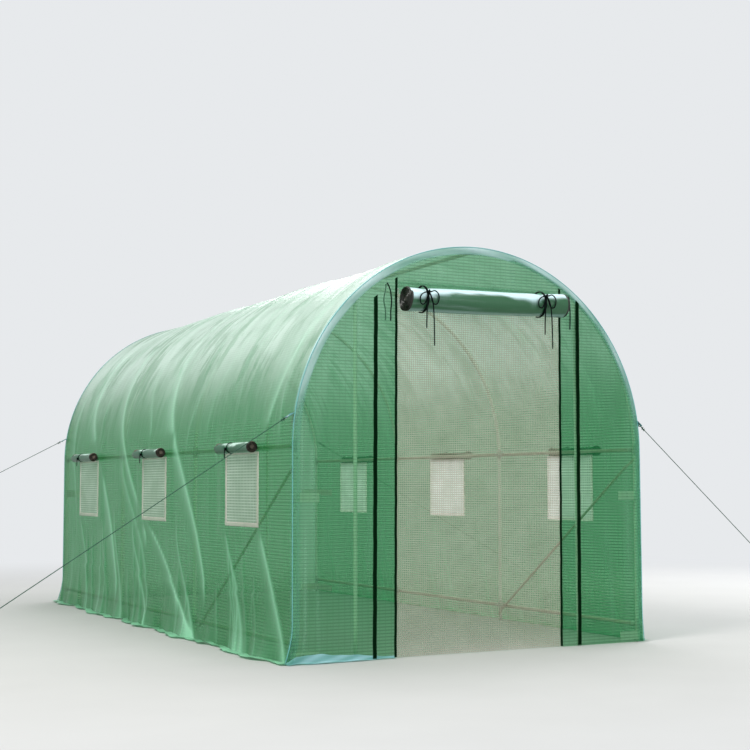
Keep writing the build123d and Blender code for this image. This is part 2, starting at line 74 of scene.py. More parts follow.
# Materials: a short way to build a node tree
class Shade:
    def __init__(self, owner, output="OutputMaterial"):
        owner.use_nodes = True
        self.owner = owner
        self.nodes, self.links = owner.node_tree.nodes, owner.node_tree.links
        self.nodes.clear()
        self.out = self.add(output)

    def add(self, kind, settings=None, **inputs):
        """A node. An input is named by its socket, with _ for a space, or by s and the socket's number."""
        node = self.nodes.new("ShaderNode" + kind)
        for key, value in (settings or {}).items():
            setattr(node, key, value)
        for key, value in inputs.items():
            self.put(node.inputs[int(key[1:]) if key[1:].isdigit() else key.replace("_", " ")], value)
        return node

    def put(self, socket, value):
        if isinstance(value, bpy.types.NodeSocket):
            self.links.new(value, socket)
        elif isinstance(value, bpy.types.Node):
            self.links.new(value.outputs[0], socket)
        elif isinstance(value, tuple) and socket.type == "RGBA":
            socket.default_value = (*value, 1)
        else:
            socket.default_value = value

    def math(self, operation, a, b=0.0, clamp=False):
        return self.add("Math", {"operation": operation, "use_clamp": clamp}, s0=a, s1=b).outputs[0]

    def times(self, a, b):
        return self.math("MULTIPLY", a, b)

    def larger(self, a, b):
        return self.math("MAXIMUM", a, b)

    def mix(self, share, a, b):
        return self.add("Mix", {"data_type": "RGBA"}, s0=share, s6=a, s7=b).outputs[2]

    def blend(self, share, first, second):
        return self.add("MixShader", s0=share, s1=first, s2=second)

    def span(self, value, low, high, to_low=0.0, to_high=1.0):
        ends = dict(From_Min=low, From_Max=high, To_Min=to_low, To_Max=to_high)
        return self.add("MapRange", {"interpolation_type": "SMOOTHSTEP"}, Value=value, **ends).outputs[0]

    def field(self, name):
        return self.add("Attribute", {"attribute_name": name}).outputs["Fac"]

    def sheet(self):
        """The sheet's own coordinates: across and along."""
        return self.add("Attribute", {"attribute_name": "sheet"}).outputs["Vector"]

    def place(self):
        return self.add("NewGeometry").outputs["Position"]

    def split(self, vector):
        return self.add("SeparateXYZ", Vector=vector).outputs

    def noise(self, scale, detail=3.0, roughness=0.55, size=1.0, source=None):
        place = self.add("Mapping", Vector=source or self.sheet(), Scale=scale)
        return self.add("TexNoise", Vector=place, Scale=size, Detail=detail, Roughness=roughness).outputs[0]

    def threads(self, spacing, width, along=0):
        """1 on thin lines that many metres apart, 0 between. Along 0 they cross the second coordinate."""
        place = self.math("DIVIDE", self.split(self.sheet())[1 - along], spacing)
        off = self.math("ABSOLUTE", self.math("SUBTRACT", self.math("FRACT", place), 0.5))
        edge = 0.5 * width / spacing
        return self.span(off, 2 * edge, 0.5 * edge)

    def bump(self, height, strength, distance, **normal):
        return self.add("Bump", Height=height, Strength=strength, Distance=distance, **normal).outputs[0]

    def surface(self, colour, rough, gloss=0.5, metal=0.0, **normal):
        return self.add("BsdfPrincipled", Base_Color=colour, Roughness=rough, Specular_IOR_Level=gloss,
                        Metallic=metal, **normal)

    def cloth(self, colour, rough, glow, cover, see, gloss=0.5, **normal):
        """Cloth that light shines through from behind, and that covers that share of what lies behind it."""
        back = self.add("BsdfTranslucent", Color=colour, **normal)
        solid = self.blend(glow, self.surface(colour, rough, gloss, **normal), back)
        return self.end(self.blend(cover, self.add("BsdfTransparent", Color=see), solid))

    def in_view(self):
        """1 for what the camera sees, straight, mirrored or through clear film."""
        rays = self.add("LightPath").outputs
        seen = self.larger(rays["Is Camera Ray"], rays["Is Glossy Ray"])
        return self.larger(seen, rays["Is Transmission Ray"])

    def end(self, shader):
        self.put(self.out.inputs["Surface"], shader)
        return self.owner


# The film's threads: their spacing and width, along the tunnel and up the section
THREADS_ALONG, THREADS_UP = (0.0155, 0.0048), (0.031, 0.0034)
# Painted shade at a roll's ends, dark like the gaps between its turns
ROLL_GAP_SHADE = (0.012, 0.014, 0.010)
# A painted glare at the top that starts too high to show
NO_TOP_GLARE = (3.0, 4.0)


def film(name, deep, fold_pale, cover, scrim=0.0, top_glare=(1.0, 1.0, 1.0), high=NO_TOP_GLARE, top=0.95,
         see=(0.70, 0.96, 0.77), glow=0.25, rough=0.30, gloss=0.5, relief=0.30, pale_cover=0.36, mesh=1.0,
         crumpled=0.0):
    """Woven sheet: a fine scrim of threads in a translucent film, paler along its folds and towards the top.

    Cover, scrim and pale_cover are how much the film, its threads and its pale parts hide.
    High is where the pale top starts and where it is full; the pale top is painted glare, the pale folds
    painted highlights.
    """
    s = Shade(bpy.data.materials.new(name))
    weave = s.larger(s.threads(*THREADS_ALONG), s.times(s.threads(*THREADS_UP, along=1), 0.5))
    weave = s.times(weave, mesh)

    # Painted highlights: pale on the folds, in fine streaks and in thin crumple lines
    streak = s.noise((7.0, 0.55, 1.0), detail=5.0, roughness=0.62, size=1.5)
    cloud = s.noise((1.8, 0.8, 1.0), detail=6.0, roughness=0.68, size=1.7)
    crumple = s.noise((6.5, 1.5, 1.0), detail=5.0, roughness=0.60, size=1.6)
    where_crumpled = s.noise((1.1, 0.8, 1.0), size=1.9)
    line = s.noise((8.0, 1.1, 1.0), detail=3.0, roughness=0.5, size=1.3)
    lift = s.math("MINIMUM", s.larger(s.field("fold"), s.span(streak, 0.50, 0.80, 0.0, 0.26)), 0.95)
    # Painted glare: paler towards the top, dimmed by painted shade in cloudy and in crumpled patches
    rise = s.span(s.split(s.place())[2], *high, 0.0, top)
    rise = s.times(rise, s.span(cloud, 0.34, 0.66, 0.76, 1.0))
    crumple_shade = s.times(s.span(crumple, 0.56, 0.44), s.span(where_crumpled, 0.36, 0.60))
    rise = s.times(rise, s.span(crumple_shade, 0.0, 1.0, 1.0, 1.0 - crumpled))
    # Thin pale lines: painted highlights on crumples, where the cloud lets them show
    off_line = s.math("ABSOLUTE", s.math("SUBTRACT", line, 0.5))
    line = s.span(off_line, 0.024, 0.0, 0.0, 0.7 * crumpled)
    lift = s.larger(lift, s.times(line, s.span(cloud, 0.48, 0.60)))
    pale = s.larger(lift, rise)

    # The colour takes the painted highlights, then the painted glare over them
    colour = s.mix(rise, s.mix(lift, deep, fold_pale), top_glare)
    thread_shade = tuple(0.42 * part for part in deep)
    colour = s.mix(s.times(weave, s.span(pale, 0.0, 0.9, 0.50, 0.10)), colour, thread_shade)
    # Painted shade at a roll's ends, where the edge attribute is 1
    colour = s.mix(s.field("edge"), colour, ROLL_GAP_SHADE)
    wrinkle = s.noise((12.0, 2.2, 1.0), detail=6.0, roughness=0.62, size=2.0)
    normal = s.bump(crumple, 1.6 * crumpled, 0.012)
    normal = s.bump(wrinkle, relief, 0.005, Normal=normal)
    normal = s.bump(weave, 0.25, 0.0004, Normal=normal)
    hides = s.math("ADD", s.times(weave, scrim), cover)
    hides = s.math("ADD", hides, s.times(pale, pale_cover), clamp=True)
    return s.cloth(colour, rough, glow, hides, see, gloss, Normal=normal)


def netting(name, thread, gaps, spacing, width, least, most, glow=0.3, down=1.0):
    """Insect net: fine threads both ways, partly see-through between them."""
    s = Shade(bpy.data.materials.new(name))
    weave = s.larger(s.threads(spacing[0], width), s.times(s.threads(spacing[1], width, along=1), down))
    cloud = s.noise((1.0, 1.0, 1.0), size=7.0)
    # The openings take the darker gaps colour, painted shade between the threads; the cloud mixes the threads
    # part way towards it
    colour = s.mix(s.times(cloud, weave), gaps, thread)
    hides = s.span(weave, 0.0, 1.0, least, most)
    return s.cloth(colour, 0.6, glow, hides, see=(0.97, 0.97, 0.95))


def plain(name, colour, other, rough, grain=(40.0, 40.0), height=0.0005, gloss=0.5, metal=0.0):
    """A solid finish: one colour drifting to another, with a fine grain, given level and upright."""
    s = Shade(bpy.data.materials.new(name))
    cloud = s.noise((grain[0], grain[0], grain[1]), detail=4.0, source=s.place())
    shade = s.mix(s.span(cloud, 0.35, 0.65, 0.0, 0.5), colour, other)
    uneven = s.span(cloud, 0.3, 0.7, rough - 0.06, rough + 0.08)
    return s.end(s.surface(shade, uneven, gloss, metal, Normal=s.bump(cloud, 0.3, height)))


def braided(name, colour, other, pitch, gloss=0.2):
    """Cord or rope: two sets of strands crossing on the slant."""
    s = Shade(bpy.data.materials.new(name))
    parts = s.split(s.sheet())
    along, around = s.times(parts[1], 2 * math.pi / pitch), s.times(parts[0], 4.0)
    one = s.math("SINE", s.math("ADD", along, around))
    two = s.math("SINE", s.math("SUBTRACT", along, around))
    weave = s.span(s.times(one, two), -1.0, 1.0)
    fuzz = s.noise((60.0, 900.0, 1.0))
    # The grooves between the strands, where the bump sinks, are darker: painted shade; the fuzz varies the
    # tone
    shade = s.mix(s.times(weave, fuzz), colour, other)
    return s.end(s.surface(shade, 0.8, gloss, Normal=s.bump(weave, 0.8, 0.0006)))


# Films: their second colour is that of their painted highlights, the top colour that of the painted glare at
# the top
cover_film = film(
    "cover_film", (0.006, 0.180, 0.046), (0.36, 0.78, 0.52), cover=0.57, scrim=0.20, see=(0.60, 0.95, 0.68),
    top_glare=(0.70, 0.84, 0.77), high=(1.04, 1.66), crumpled=0.30, gloss=0.28)
panel_film = film(
    "panel_film", (0.010, 0.190, 0.062), (0.34, 0.62, 0.45), cover=0.42, scrim=0.18,
    top_glare=(0.52, 0.74, 0.64), high=(1.20, 1.75), top=0.20, crumpled=0.12, gloss=0.32)
band_film = film(
    "band_film", (0.08, 0.38, 0.34), (0.80, 0.97, 1.00), cover=0.07, see=(0.90, 1.0, 0.93), relief=0.1,
    pale_cover=0.90, mesh=0.0)
roll_film = film(
    "roll_film", (0.028, 0.115, 0.050), (0.66, 0.88, 0.92), cover=1.0, glow=0.05, relief=0.5, rough=0.26,
    mesh=0.12, gloss=0.4)
window_roll_film = film(
    "window_roll_film", (0.012, 0.095, 0.042), (0.60, 0.82, 0.72), cover=1.0, glow=0.05, relief=0.6,
    rough=0.34, mesh=0.0, gloss=0.25)
skirt_film = film(
    "skirt_film", (0.16, 0.46, 0.44), (0.46, 0.74, 0.80), cover=0.74, scrim=0.05, relief=0.1, mesh=0.2)
net_border = film(
    "net_border", (0.95, 0.88, 0.86), (0.95, 0.90, 0.88), cover=0.95, see=(1.0, 1.0, 1.0), glow=0.85,
    rough=0.7, mesh=0.0)
door_net = netting("door_net", (0.74, 0.66, 0.56), (0.35, 0.27, 0.20), (0.0105, 0.0105), 0.0040, 0.08, 0.46)
window_net = netting("window_net", (0.96, 0.97, 0.94), (0.26, 0.36, 0.26), (0.0145, 0.0200), 0.0052, 0.66,
                     0.86, glow=0.68, down=0.80)
seam_bead = plain("seam_bead", (0.120, 0.380, 0.380), (0.170, 0.440, 0.440), 0.5, (60.0, 60.0))
# Dark plugs in the rolls' ends: painted shade standing for their inner turns, brown in the window rolls
door_roll_end_shade = plain("door_roll_end_shade", (0.020, 0.022, 0.016), (0.055, 0.050, 0.040), 0.8, (500.0, 500.0))
window_roll_end_shade = plain("window_roll_end_shade", (0.110, 0.078, 0.062), (0.230, 0.175, 0.150), 0.85, (400.0, 400.0))
tube_paint = plain("tube_paint", (0.86, 0.83, 0.77), (0.93, 0.91, 0.86), 0.38, (18.0, 6.0), height=0.0002)
rail_paint = plain("rail_paint", (0.52, 0.47, 0.38), (0.62, 0.57, 0.47), 0.40, (18.0, 6.0), height=0.0002)
fitting_plastic = plain("fitting_plastic", (0.52, 0.54, 0.48), (0.60, 0.61, 0.55), 0.5)
zip_tape = plain("zip_tape", (0.000, 0.010, 0.002), (0.001, 0.020, 0.005), 0.85, (300.0, 900.0), gloss=0.05)
tie_cord = braided("tie_cord", (0.001, 0.003, 0.003), (0.005, 0.010, 0.009), 0.006, gloss=0.06)
rope_cord = braided("rope_cord", (0.020, 0.070, 0.045), (0.050, 0.130, 0.085), 0.010)
peg_steel = plain("peg_steel", (0.46, 0.46, 0.44), (0.56, 0.55, 0.52), 0.32, metal=0.9)
tab_webbing = plain("tab_webbing", (0.050, 0.175, 0.185), (0.085, 0.250, 0.255), 0.7, (500.0, 120.0))
strap_felt = plain("strap_felt", (0.84, 0.78, 0.73), (0.92, 0.88, 0.84), 0.9, (260.0, 260.0))


# Meshes
def add_piece(name, points, faces, material, slot, replaced=(), smooth=True, **fields):
    """A mesh piece that rides on the frame, with a value of each field at each point."""
    mesh = bpy.data.meshes.new(name)
    mesh.from_pydata(np.asarray(points, float).reshape(-1, 3).tolist(), [], [list(f) for f in faces])
    mesh.validate()
    mesh.polygons.foreach_set("use_smooth", [smooth] * len(mesh.polygons))
    for key, values in fields.items():
        values = np.asarray(values, np.float32)
        kind, store = ("FLOAT_VECTOR", "vector") if values.ndim == 2 else ("FLOAT", "value")
        mesh.attributes.new(key, kind, "POINT").data.foreach_set(store, values.ravel())
    mesh.materials.append(material)
    piece = bpy.data.objects.new(name, mesh)
    bpy.context.scene.collection.objects.link(piece)
    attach(piece, "root")
    if replaced:
        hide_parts(*replaced)
    return piece


def add_grid(name, points, across, along, material, slot, replaced=(), keep=None, **fields):
    """A sheet over a grid of points, with its own coordinates across and along."""
    sheet = np.stack([across, along, np.zeros_like(across)], -1).reshape(-1, 3)
    fields = {key: np.ravel(values) for key, values in fields.items()}
    faces = grid_faces(*across.shape, keep)
    return add_piece(name, points, faces, material, slot, replaced, sheet=sheet, **fields)


def add_shapes(name, shapes, material, slot, replaced=(), smooth=True):
    """Several meshes gathered into one piece: each has points and faces, and a cord its own coordinates."""
    points = [np.asarray(shape[0], float).reshape(-1, 3) for shape in shapes]
    starts = np.cumsum([0, *map(len, points)]).tolist()
    faces = [[k + start for k in face] for shape, start in zip(shapes, starts) for face in shape[1]]
    sheets = [shape[2] if len(shape) > 2 else places for shape, places in zip(shapes, points)]
    return add_piece(name, np.concatenate(points), faces, material, slot, replaced, smooth,
                     sheet=np.concatenate(sheets), fold=np.zeros(starts[-1]))


def grid_faces(rows, columns, keep=None, closed=False):
    """Quads over rows of points, the columns joined into rings if closed."""
    last = columns if closed else columns - 1
    row, column = np.meshgrid(np.arange(rows - 1), np.arange(last), indexing="ij")
    beside = (column + 1) % columns
    quads = np.stack([row * columns + column, row * columns + beside,
                      (row + 1) * columns + beside, (row + 1) * columns + column], -1)
    return (quads.reshape(-1, 4) if keep is None else quads[keep]).tolist()


def grid(rows, columns):
    return np.meshgrid(rows, columns, indexing="ij")


def unit(vectors):
    return vectors / np.linalg.norm(vectors, axis=-1, keepdims=True)


def distances(path):
    """How far along a line each of its points is."""
    return np.concatenate([[0], np.cumsum(np.linalg.norm(np.diff(path, axis=0), axis=1))])


def sweep(path, radius, sides=16, first_axis=None, caps=True, twist=None):
    """A round or oval tube along a path. Radius is a number, or one or two numbers for each point."""
    path = np.asarray(path, float)
    count = len(path)
    radius = np.asarray(radius, float)
    if radius.ndim < 2:
        radius = np.stack([np.broadcast_to(radius, count)] * 2, 1)
    way = unit(np.gradient(path, axis=0))
    axis = np.array(first_axis if first_axis is not None else (0.0, 0.0, 1.0))
    if first_axis is None and abs(way[0] @ axis) > 0.9:
        axis = np.array((1.0, 0.0, 0.0))
    turn = np.linspace(0, 2 * math.pi, sides, endpoint=False)
    points = []
    for index in range(count):
        axis = unit(axis - (axis @ way[index]) * way[index])
        other = np.cross(way[index], axis)
        lobes = 1.0 if twist is None else twist(index, turn)
        ring = path[index] + radius[index, 0] * (np.cos(turn) * lobes)[:, None] * axis
        points.append(ring + radius[index, 1] * (np.sin(turn) * lobes)[:, None] * other)
    sheet = np.stack([np.tile(turn, count), np.repeat(distances(path), sides), np.zeros(count * sides)], 1)
    faces = grid_faces(count, sides, closed=True)
    if caps:
        faces += [list(range(sides))[::-1], [count * sides - sides + k for k in range(sides)]]
    return np.concatenate(points), faces, sheet


def lathe(profile, centre, axis, sides=24):
    """A ring or plug: a closed profile of (radius, distance along) turned about an axis."""
    centre, axis = np.asarray(centre, float), unit(np.asarray(axis, float))
    side = unit(np.cross(axis, (1.0, 0.0, 0.0) if abs(axis[0]) < 0.9 else (0.0, 1.0, 0.0)))
    other = np.cross(axis, side)
    turn = np.linspace(0, 2 * math.pi, sides, endpoint=False)
    rings = [centre + along * axis + r * (np.cos(turn)[:, None] * side + np.sin(turn)[:, None] * other)
             for r, along in [*profile, profile[0]]]
    return np.concatenate(rings), grid_faces(len(rings), sides, closed=True)


def sleeve(centre, axis, outer, inner, half, lip=0.0015):
    """A short thick tube with rounded lips."""
    profile = [(outer, -half + lip), (outer, half - lip), (outer - lip, half), (inner, half),
               (inner, -half), (outer - lip, -half)]
    return lathe(profile, centre, axis)


def smooth_step(value):
    value = np.clip(value, 0, 1)
    return value * value * (3 - 2 * value)


def spread(breaks, step):
    """Places from the first break to the last, on every break and about a step apart."""
    places = [breaks[0]]
    for start, stop in zip(breaks, breaks[1:]):
        places += list(np.linspace(start, stop, max(1, round((stop - start) / step)) + 1)[1:])
    return np.array(places)


def arc(radius, start, stop, count):
    """Points round part of a circle: (across, up), from one angle to another."""
    return [(radius * math.cos(a), radius * math.sin(a)) for a in np.linspace(start, stop, count)]


# The cover's folds. On the left wall their lines are read off the photograph. Each is a line of
# (y, distance up the section), the half width at its two ends, a height and the strength of its painted
# highlight.
WALL_FOLDS = (
    (((-0.86, 0.30), (-0.73, 0.57), (-0.50, 0.88), (-0.25, 1.20), (-0.08, 1.60)), (0.04, 0.15), 0.006, 0.60),
    (((-0.80, 0.0), (-0.47, 0.16), (-0.16, 0.42), (0.23, 0.66)), (0.10, 0.045), 0.006, 0.62),
    (((0.16, 0.56), (0.47, 0.88), (0.70, 1.24), (0.84, 1.7)), (0.045, 0.11), 0.006, 0.60),
    (((0.70, 0.20), (0.86, 0.60), (1.13, 0.97), (1.41, 1.27), (1.56, 1.8)), (0.04, 0.16), 0.006, 0.55),
    (((-1.95, 0.0), (-1.88, 0.12), (-1.74, 0.36), (-1.59, 0.60)), (0.09, 0.04), 0.007, 0.58),
    (((-0.77, 0.0), (-0.52, 0.31), (-0.40, 0.50)), (0.07, 0.02), 0.006, 0.45),
    (((0.02, 0.0), (0.24, 0.27), (0.40, 0.48)), (0.06, 0.02), 0.006, 0.45),
    (((0.54, 0.0), (0.71, 0.38), (0.78, 0.56)), (0.06, 0.02), 0.005, 0.40),
    (((-1.47, 0.0), (-1.26, 0.36), (-1.14, 0.54)), (0.10, 0.03), 0.006, 0.45),
    (((0.05, 0.10), (0.25, 0.50), (0.54, 0.80), (0.62, 0.9)), (0.03, 0.06), 0.005, 0.34),
    (((1.30, 0.0), (1.42, 0.30), (1.58, 0.60)), (0.05, 0.02), 0.005, 0.35),
    (((1.02, 0.0), (1.10, 0.36)), (0.05, 0.02), 0.005, 0.35),
    (((-1.62, 0.98), (-1.74, 1.25), (-1.84, 1.7)), (0.03, 0.12), 0.004, 0.48),
    (((-0.56, 1.08), (-0.70, 1.40), (-0.80, 1.9)), (0.02, 0.10), 0.003, 0.28),
    (((0.10, 1.15), (0.30, 1.45), (0.36, 1.9)), (0.03, 0.12), 0.003, 0.34),
    (((1.66, 0.60), (1.74, 0.95), (1.80, 1.35)), (0.02, 0.08), 0.003, 0.36),
)
# The left wall's folds are drawn wider, lower and with a stronger painted highlight
WALL_WIDER, WALL_LOWER, WALL_PALER = 1.15, 0.7, 1.2
ROOF_FOLDS, FOOT_FOLDS = {-1: 30, 1: 40}, {-1: 20, 1: 34}
FOOT_REACH = {-1: (0.12, 0.45), 1: (0.2, 0.9)}
FOLD_SEED, FOLD_END, FOLD_SMOOTH = 7, 0.16, (-0.08, -0.04, 0, 0.04, 0.08)


def fold_field(y, run, side):
    """How far the cover stands out from its section, and how strong the painted highlight along its folds is.
    """
    rng = np.random.default_rng(FOLD_SEED + (side > 0))
    out, pale = np.zeros_like(y), np.zeros_like(y)

    def ridge(line, widths, height, shine):
        """A ridge in the film with one crisp edge: it rises fast from its front side and runs out slowly
        behind, as does its painted highlight.
        """
        nonlocal out, pale
        ys, runs = zip(*line)
        centre = np.mean([np.interp(run + shift, runs, ys) for shift in FOLD_SMOOTH], axis=0)
        fade = 1 - smooth_step(np.maximum(runs[0] - run, run - runs[-1]) / FOLD_END)
        gap = y - centre
        width = np.interp(run, (runs[0], runs[-1]), widths)
        behind = width * (0.7 + 0.3 * np.sin(2.3 * run + 5 * ys[0]) ** 2)

        def slope(reach, power):
            return np.exp(-np.abs(gap / reach) ** power)

        out += height * fade * np.where(gap > 0, slope(0.7 * behind, 1.4), slope(0.30 * width, 1.6))
        pale += shine * fade * np.where(gap > 0, slope(behind, 1), slope(0.22 * width, 1.6))

    wall_folds = WALL_FOLDS if side < 0 else ()
    for line, widths, height, shine in wall_folds:
        ridge(line, [WALL_WIDER * w for w in widths], WALL_LOWER * height, WALL_PALER * shine)
    for _ in range(ROOF_FOLDS[side]):
        top = rng.uniform(-1.9, 1.9)
        start, reach = rng.uniform(1.0, 1.9), rng.uniform(0.35, 1.1)
        slant = rng.uniform(-0.10, 0.14)
        width, height = rng.uniform(0.015, 0.060), rng.uniform(0.0015, 0.0050)
        line = ((top - slant, start), (top, start + reach / 2), (top + slant / 2, start + reach))
        ridge(line, (width, width), height, rng.uniform(0.08, 0.30))
    for _ in range(FOOT_FOLDS[side]):
        foot, reach = rng.uniform(-1.9, 1.85), rng.uniform(*FOOT_REACH[side])
        slant = rng.uniform(0.15, 0.55) * reach
        width, height = rng.uniform(0.014, 0.040), rng.uniform(0.003, 0.007)
        ridge(((foot, -0.05), (foot + slant, reach)), (width, width), height, rng.uniform(0.10, 0.35))
    return out, pale


def waves(y, seed):
    """A slow irregular wave along the tunnel, between about -1 and 1."""
    rng = np.random.default_rng(seed)
    total = np.zeros_like(y)
    for length, share in ((0.81, 0.52), (0.33, 0.38), (0.15, 0.14)):
        total += share * np.sin(2 * math.pi * y / length + rng.uniform(0, 6.3) + 0.8 * np.sin(3 * y))
    return total


def near(value, places, reach):
    """1 at any of the places, falling to 0 at that reach from it."""
    gap = np.min([np.abs(value - place) for place in places], axis=0)
    return 1 - smooth_step(gap / reach)


# How near to an arch, a rail, an end seam and a window the cover is held in
ARCH_REACH, RAIL_REACH, END_REACH, WINDOW_REACH = 0.10, 0.09, 0.06, 0.07
FLAT_HALF, FLAT_LOW, FLAT_HIGH = 0.29, window_low - 0.02, window_high + 0.10
BAY_SINK, DEEPEST_SLACK, DEEPEST_HELD = 0.010, -0.016, -0.004
# The hem: it flares outwards, ripples, and its last stretch lies on the ground
HEM_RISE, HEM_KICK, HEM_RIPPLE, RIGHT_FLARE, HEM_LIFT = 0.24, 0.030, 0.022, 0.3, 0.0015


def cover_points(y, run):
    """The cover's points at a place along the tunnel and a distance from the left foot over to the right."""
    side = np.where(run < section_length / 2, -1.0, 1.0)
    foot_run = np.where(side < 0, run, section_length - run)
    turn = np.clip((foot_run - leg_height) / cover_r, 0, math.pi / 2)
    height = np.clip(foot_run, 0, leg_height) + cover_r * np.sin(turn)
    reach = cover_r * np.cos(turn)
    out, pale = np.where(side < 0, fold_field(y, foot_run, -1), fold_field(y, foot_run, 1))

    # Held in at the arches, the rails, the window frames and the end seams; slack between them
    at_rail = near(foot_run, (base_rail_z, mid_rail_z, leg_height + arc_length / 2), RAIL_REACH)
    past_y = np.min([np.abs(y - w) - FLAT_HALF for w in window_y], axis=0)
    past_z = np.maximum(FLAT_LOW - foot_run, foot_run - FLAT_HIGH)
    at_window = 1 - smooth_step(np.maximum(past_y, past_z) / WINDOW_REACH)
    at_end = near(np.abs(y), (half_length,), END_REACH)
    slack = (1 - near(y, arch_y, ARCH_REACH)) * (1 - at_rail)
    bays = np.clip((y - arch_y[0]) / (arch_y[-1] - arch_y[0]), 0, 1) * (len(arch_y) - 1)
    out -= BAY_SINK * np.sin(math.pi * bays) ** 2 * slack * (foot_run > 0.3)
    out = out * np.where(out < 0, 0.25 + 0.75 * slack, 0.35 + 0.65 * (1 - at_rail * 0.5))
    out *= (1 - 0.94 * at_window) * (1 - at_end)
    pale *= (1 - 0.8 * at_window) * (1 - 0.6 * at_end)
    out = np.maximum(out, np.where(slack > 0.6, DEEPEST_SLACK, DEEPEST_HELD))

    low = np.clip(1 - foot_run / HEM_RISE, 0, 1)
    ripple = waves(y, 3) * np.where(side < 0, 1.0, 0.8)
    corner = 1 - smooth_step((np.abs(y) - 1.80) / 0.2) * 0.5
    kick = (HEM_KICK + HEM_RIPPLE * ripple) * low**1.7 * corner * np.where(side < 0, 1.0, RIGHT_FLARE)
    past = np.clip(-foot_run, 0, None)
    reach = reach + kick + past * (0.75 + 0.25 * ripple)
    small = (0.6 + waves(y * 2.3 + 5, 9)).clip(0)
    height = np.maximum(height, 0) + np.clip(past / 0.02, 0, 1) * (0.004 + 0.006 * small) + HEM_LIFT
    # Painted highlight on the hem: pale where it lies on the ground, and on its ripples near the foot
    pale = pale + 0.55 * np.clip(past / 0.015, 0, 1) + 0.35 * low**3 * (0.5 + 0.5 * ripple)
    points = np.stack([side * (reach + out * np.cos(turn)), y, height + out * np.sin(turn)], -1)
    return points, np.clip(pale, 0, 1)


# The cover's grid: the heights where its step changes, and the steps
HEM_TOP, ROOF_START = 0.20, leg_height + 0.1
Y_STEP, HEM_STEP, WALL_STEP, ROOF_STEP = 0.0106, 0.010, 0.026, 0.031


def build_cover():
    """One sheet from the left hem over the arches to the right hem, with six windows cut out."""
    window_edges = [w + side * window_half for w in window_y for _, side in SIDES]
    ys = spread((-half_length, *window_edges, half_length), Y_STEP)
    hem = spread((-skirt, 0.0, HEM_TOP), HEM_STEP)
    wall = spread((HEM_TOP, window_low, window_high, ROOF_START), WALL_STEP)
    roof = spread((ROOF_START, section_length / 2), ROOF_STEP)
    half = np.concatenate([hem, wall[1:], roof[1:]])
    runs = np.concatenate([half, section_length - half[-2::-1]])
    run, y = grid(runs, ys)
    points, pale = cover_points(y, run)
    mid_run = (runs[:-1] + runs[1:]) / 2
    foot_run = np.minimum(mid_run, section_length - mid_run)
    mid_y = (ys[:-1] + ys[1:]) / 2
    in_rows = (foot_run > window_low) & (foot_run < window_high)
    in_columns = np.any([np.abs(mid_y - w) < window_half for w in window_y], axis=0)
    piece = add_grid("cover_sheet", points, y, run, cover_film, "cover_sheet",
                     ("left_wall", "right_wall", "left_roof", "right_roof"),
                     keep=~np.outer(in_rows, in_columns), fold=pale)


# The end walls
CORNER_FLARE, FLARE_TOP, CORNER_REACH = 0.036, 0.16, 0.12
# Their sheets: how many slow waves they have and how high, and how flat they are near a seam
PANEL_WAVES, PANEL_WAVE, SEAM_MARGIN, SEAM_FADE, SIDE_FADE = 7, 0.0011, 0.045, 0.06, 0.03
# The zips hang a few millimetres off their seams, and each ends at its own height
ZIPS = ("outer_left_zip", "inner_left_zip", "inner_right_zip", "outer_right_zip")
zip_x = {name: middle(name)[0] - off for name, off in zip(ZIPS, (0.008, 0.005, 0.009, 0.005))}
zip_top_r = dict(zip(ZIPS, (0.920, 0.938, 0.960, 0.974)))
zip_width = {name: 0.021 if name.startswith("outer") else 0.0135 for name in ZIPS}
DOOR_LEAN, DOOR_LEAN_REACH = 0.0065, 0.30
door_head_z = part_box("door_head")[0].z


def lean(x, z):
    """The front wall's door hangs slightly out of plumb; its legs don't."""
    return DOOR_LEAN * (z - leg_height) * smooth_step((half_width - 0.05 - np.abs(x)) / DOOR_LEAN_REACH)


def corner_flare(x, z, flare):
    """How far the cover's corners turn outwards near the ground, less at the right."""
    return np.where(x < 0, -flare, RIGHT_FLARE * flare) * np.clip(1 - z / FLARE_TOP, 0, 1) ** 1.5


def end_panel(name, replaced, y, x_from, x_to, z_from=0.0, step=0.016, creases=(), seed=1):
    """A flat sheet of an end wall, from x to x, up to the arch, with light creases."""
    xs = spread((x_from, x_to), step)
    tops = leg_height + np.sqrt(np.maximum(cover_r**2 - xs**2, 0))
    up, x = grid(spread((0.0, 1.0), step / (leg_height + cover_r - z_from)), xs)
    z = z_from + up * (tops - z_from)
    rng = np.random.default_rng(seed)
    out, pale = np.zeros_like(x), np.zeros_like(x)
    # Each crease stands out a little and carries a painted highlight
    for (x0, z0), (x1, z1), width, height, shine in creases:
        along = np.clip((z - z0) / (z1 - z0), 0, 1)
        off = np.abs((x - x0 - along * (x1 - x0)) / width)
        end = 1 - smooth_step(np.maximum(z0 - z, z - z1) / 0.08)
        out += height * end * np.exp(-off**1.6)
        pale += shine * end * np.exp(-off**1.5)
    for _ in range(PANEL_WAVES):
        kx, kz, phase = rng.uniform(1, 7), rng.uniform(0.5, 3), rng.uniform(0, 6.3)
        out += PANEL_WAVE * np.sin(kx * x * 2 + kz * z * 2 + phase)
    # Flat again at the seams and at the foot
    inside = cover_r - np.where(z > leg_height, np.hypot(x, z - leg_height), np.abs(x))
    free = np.clip((inside - SEAM_MARGIN) / SEAM_FADE, 0, 1)
    free *= np.clip(np.minimum(x - x_from, x_to - x) / SIDE_FADE, 0, 1)
    out *= smooth_step(free) * smooth_step((z - 0.03) / 0.12)
    at_corner = smooth_step((np.abs(x) - cover_r + CORNER_REACH) / CORNER_REACH)
    shift = corner_flare(x, z, CORNER_FLARE) * at_corner + (lean(x, z) if y < 0 else 0.0)
    points = np.stack([x + shift, y + math.copysign(1, y) * out, z + HEM_LIFT], -1)
    piece = add_grid(name, points, x, z, panel_film, "cover_sheet", (replaced,), fold=np.clip(pale, 0, 1))
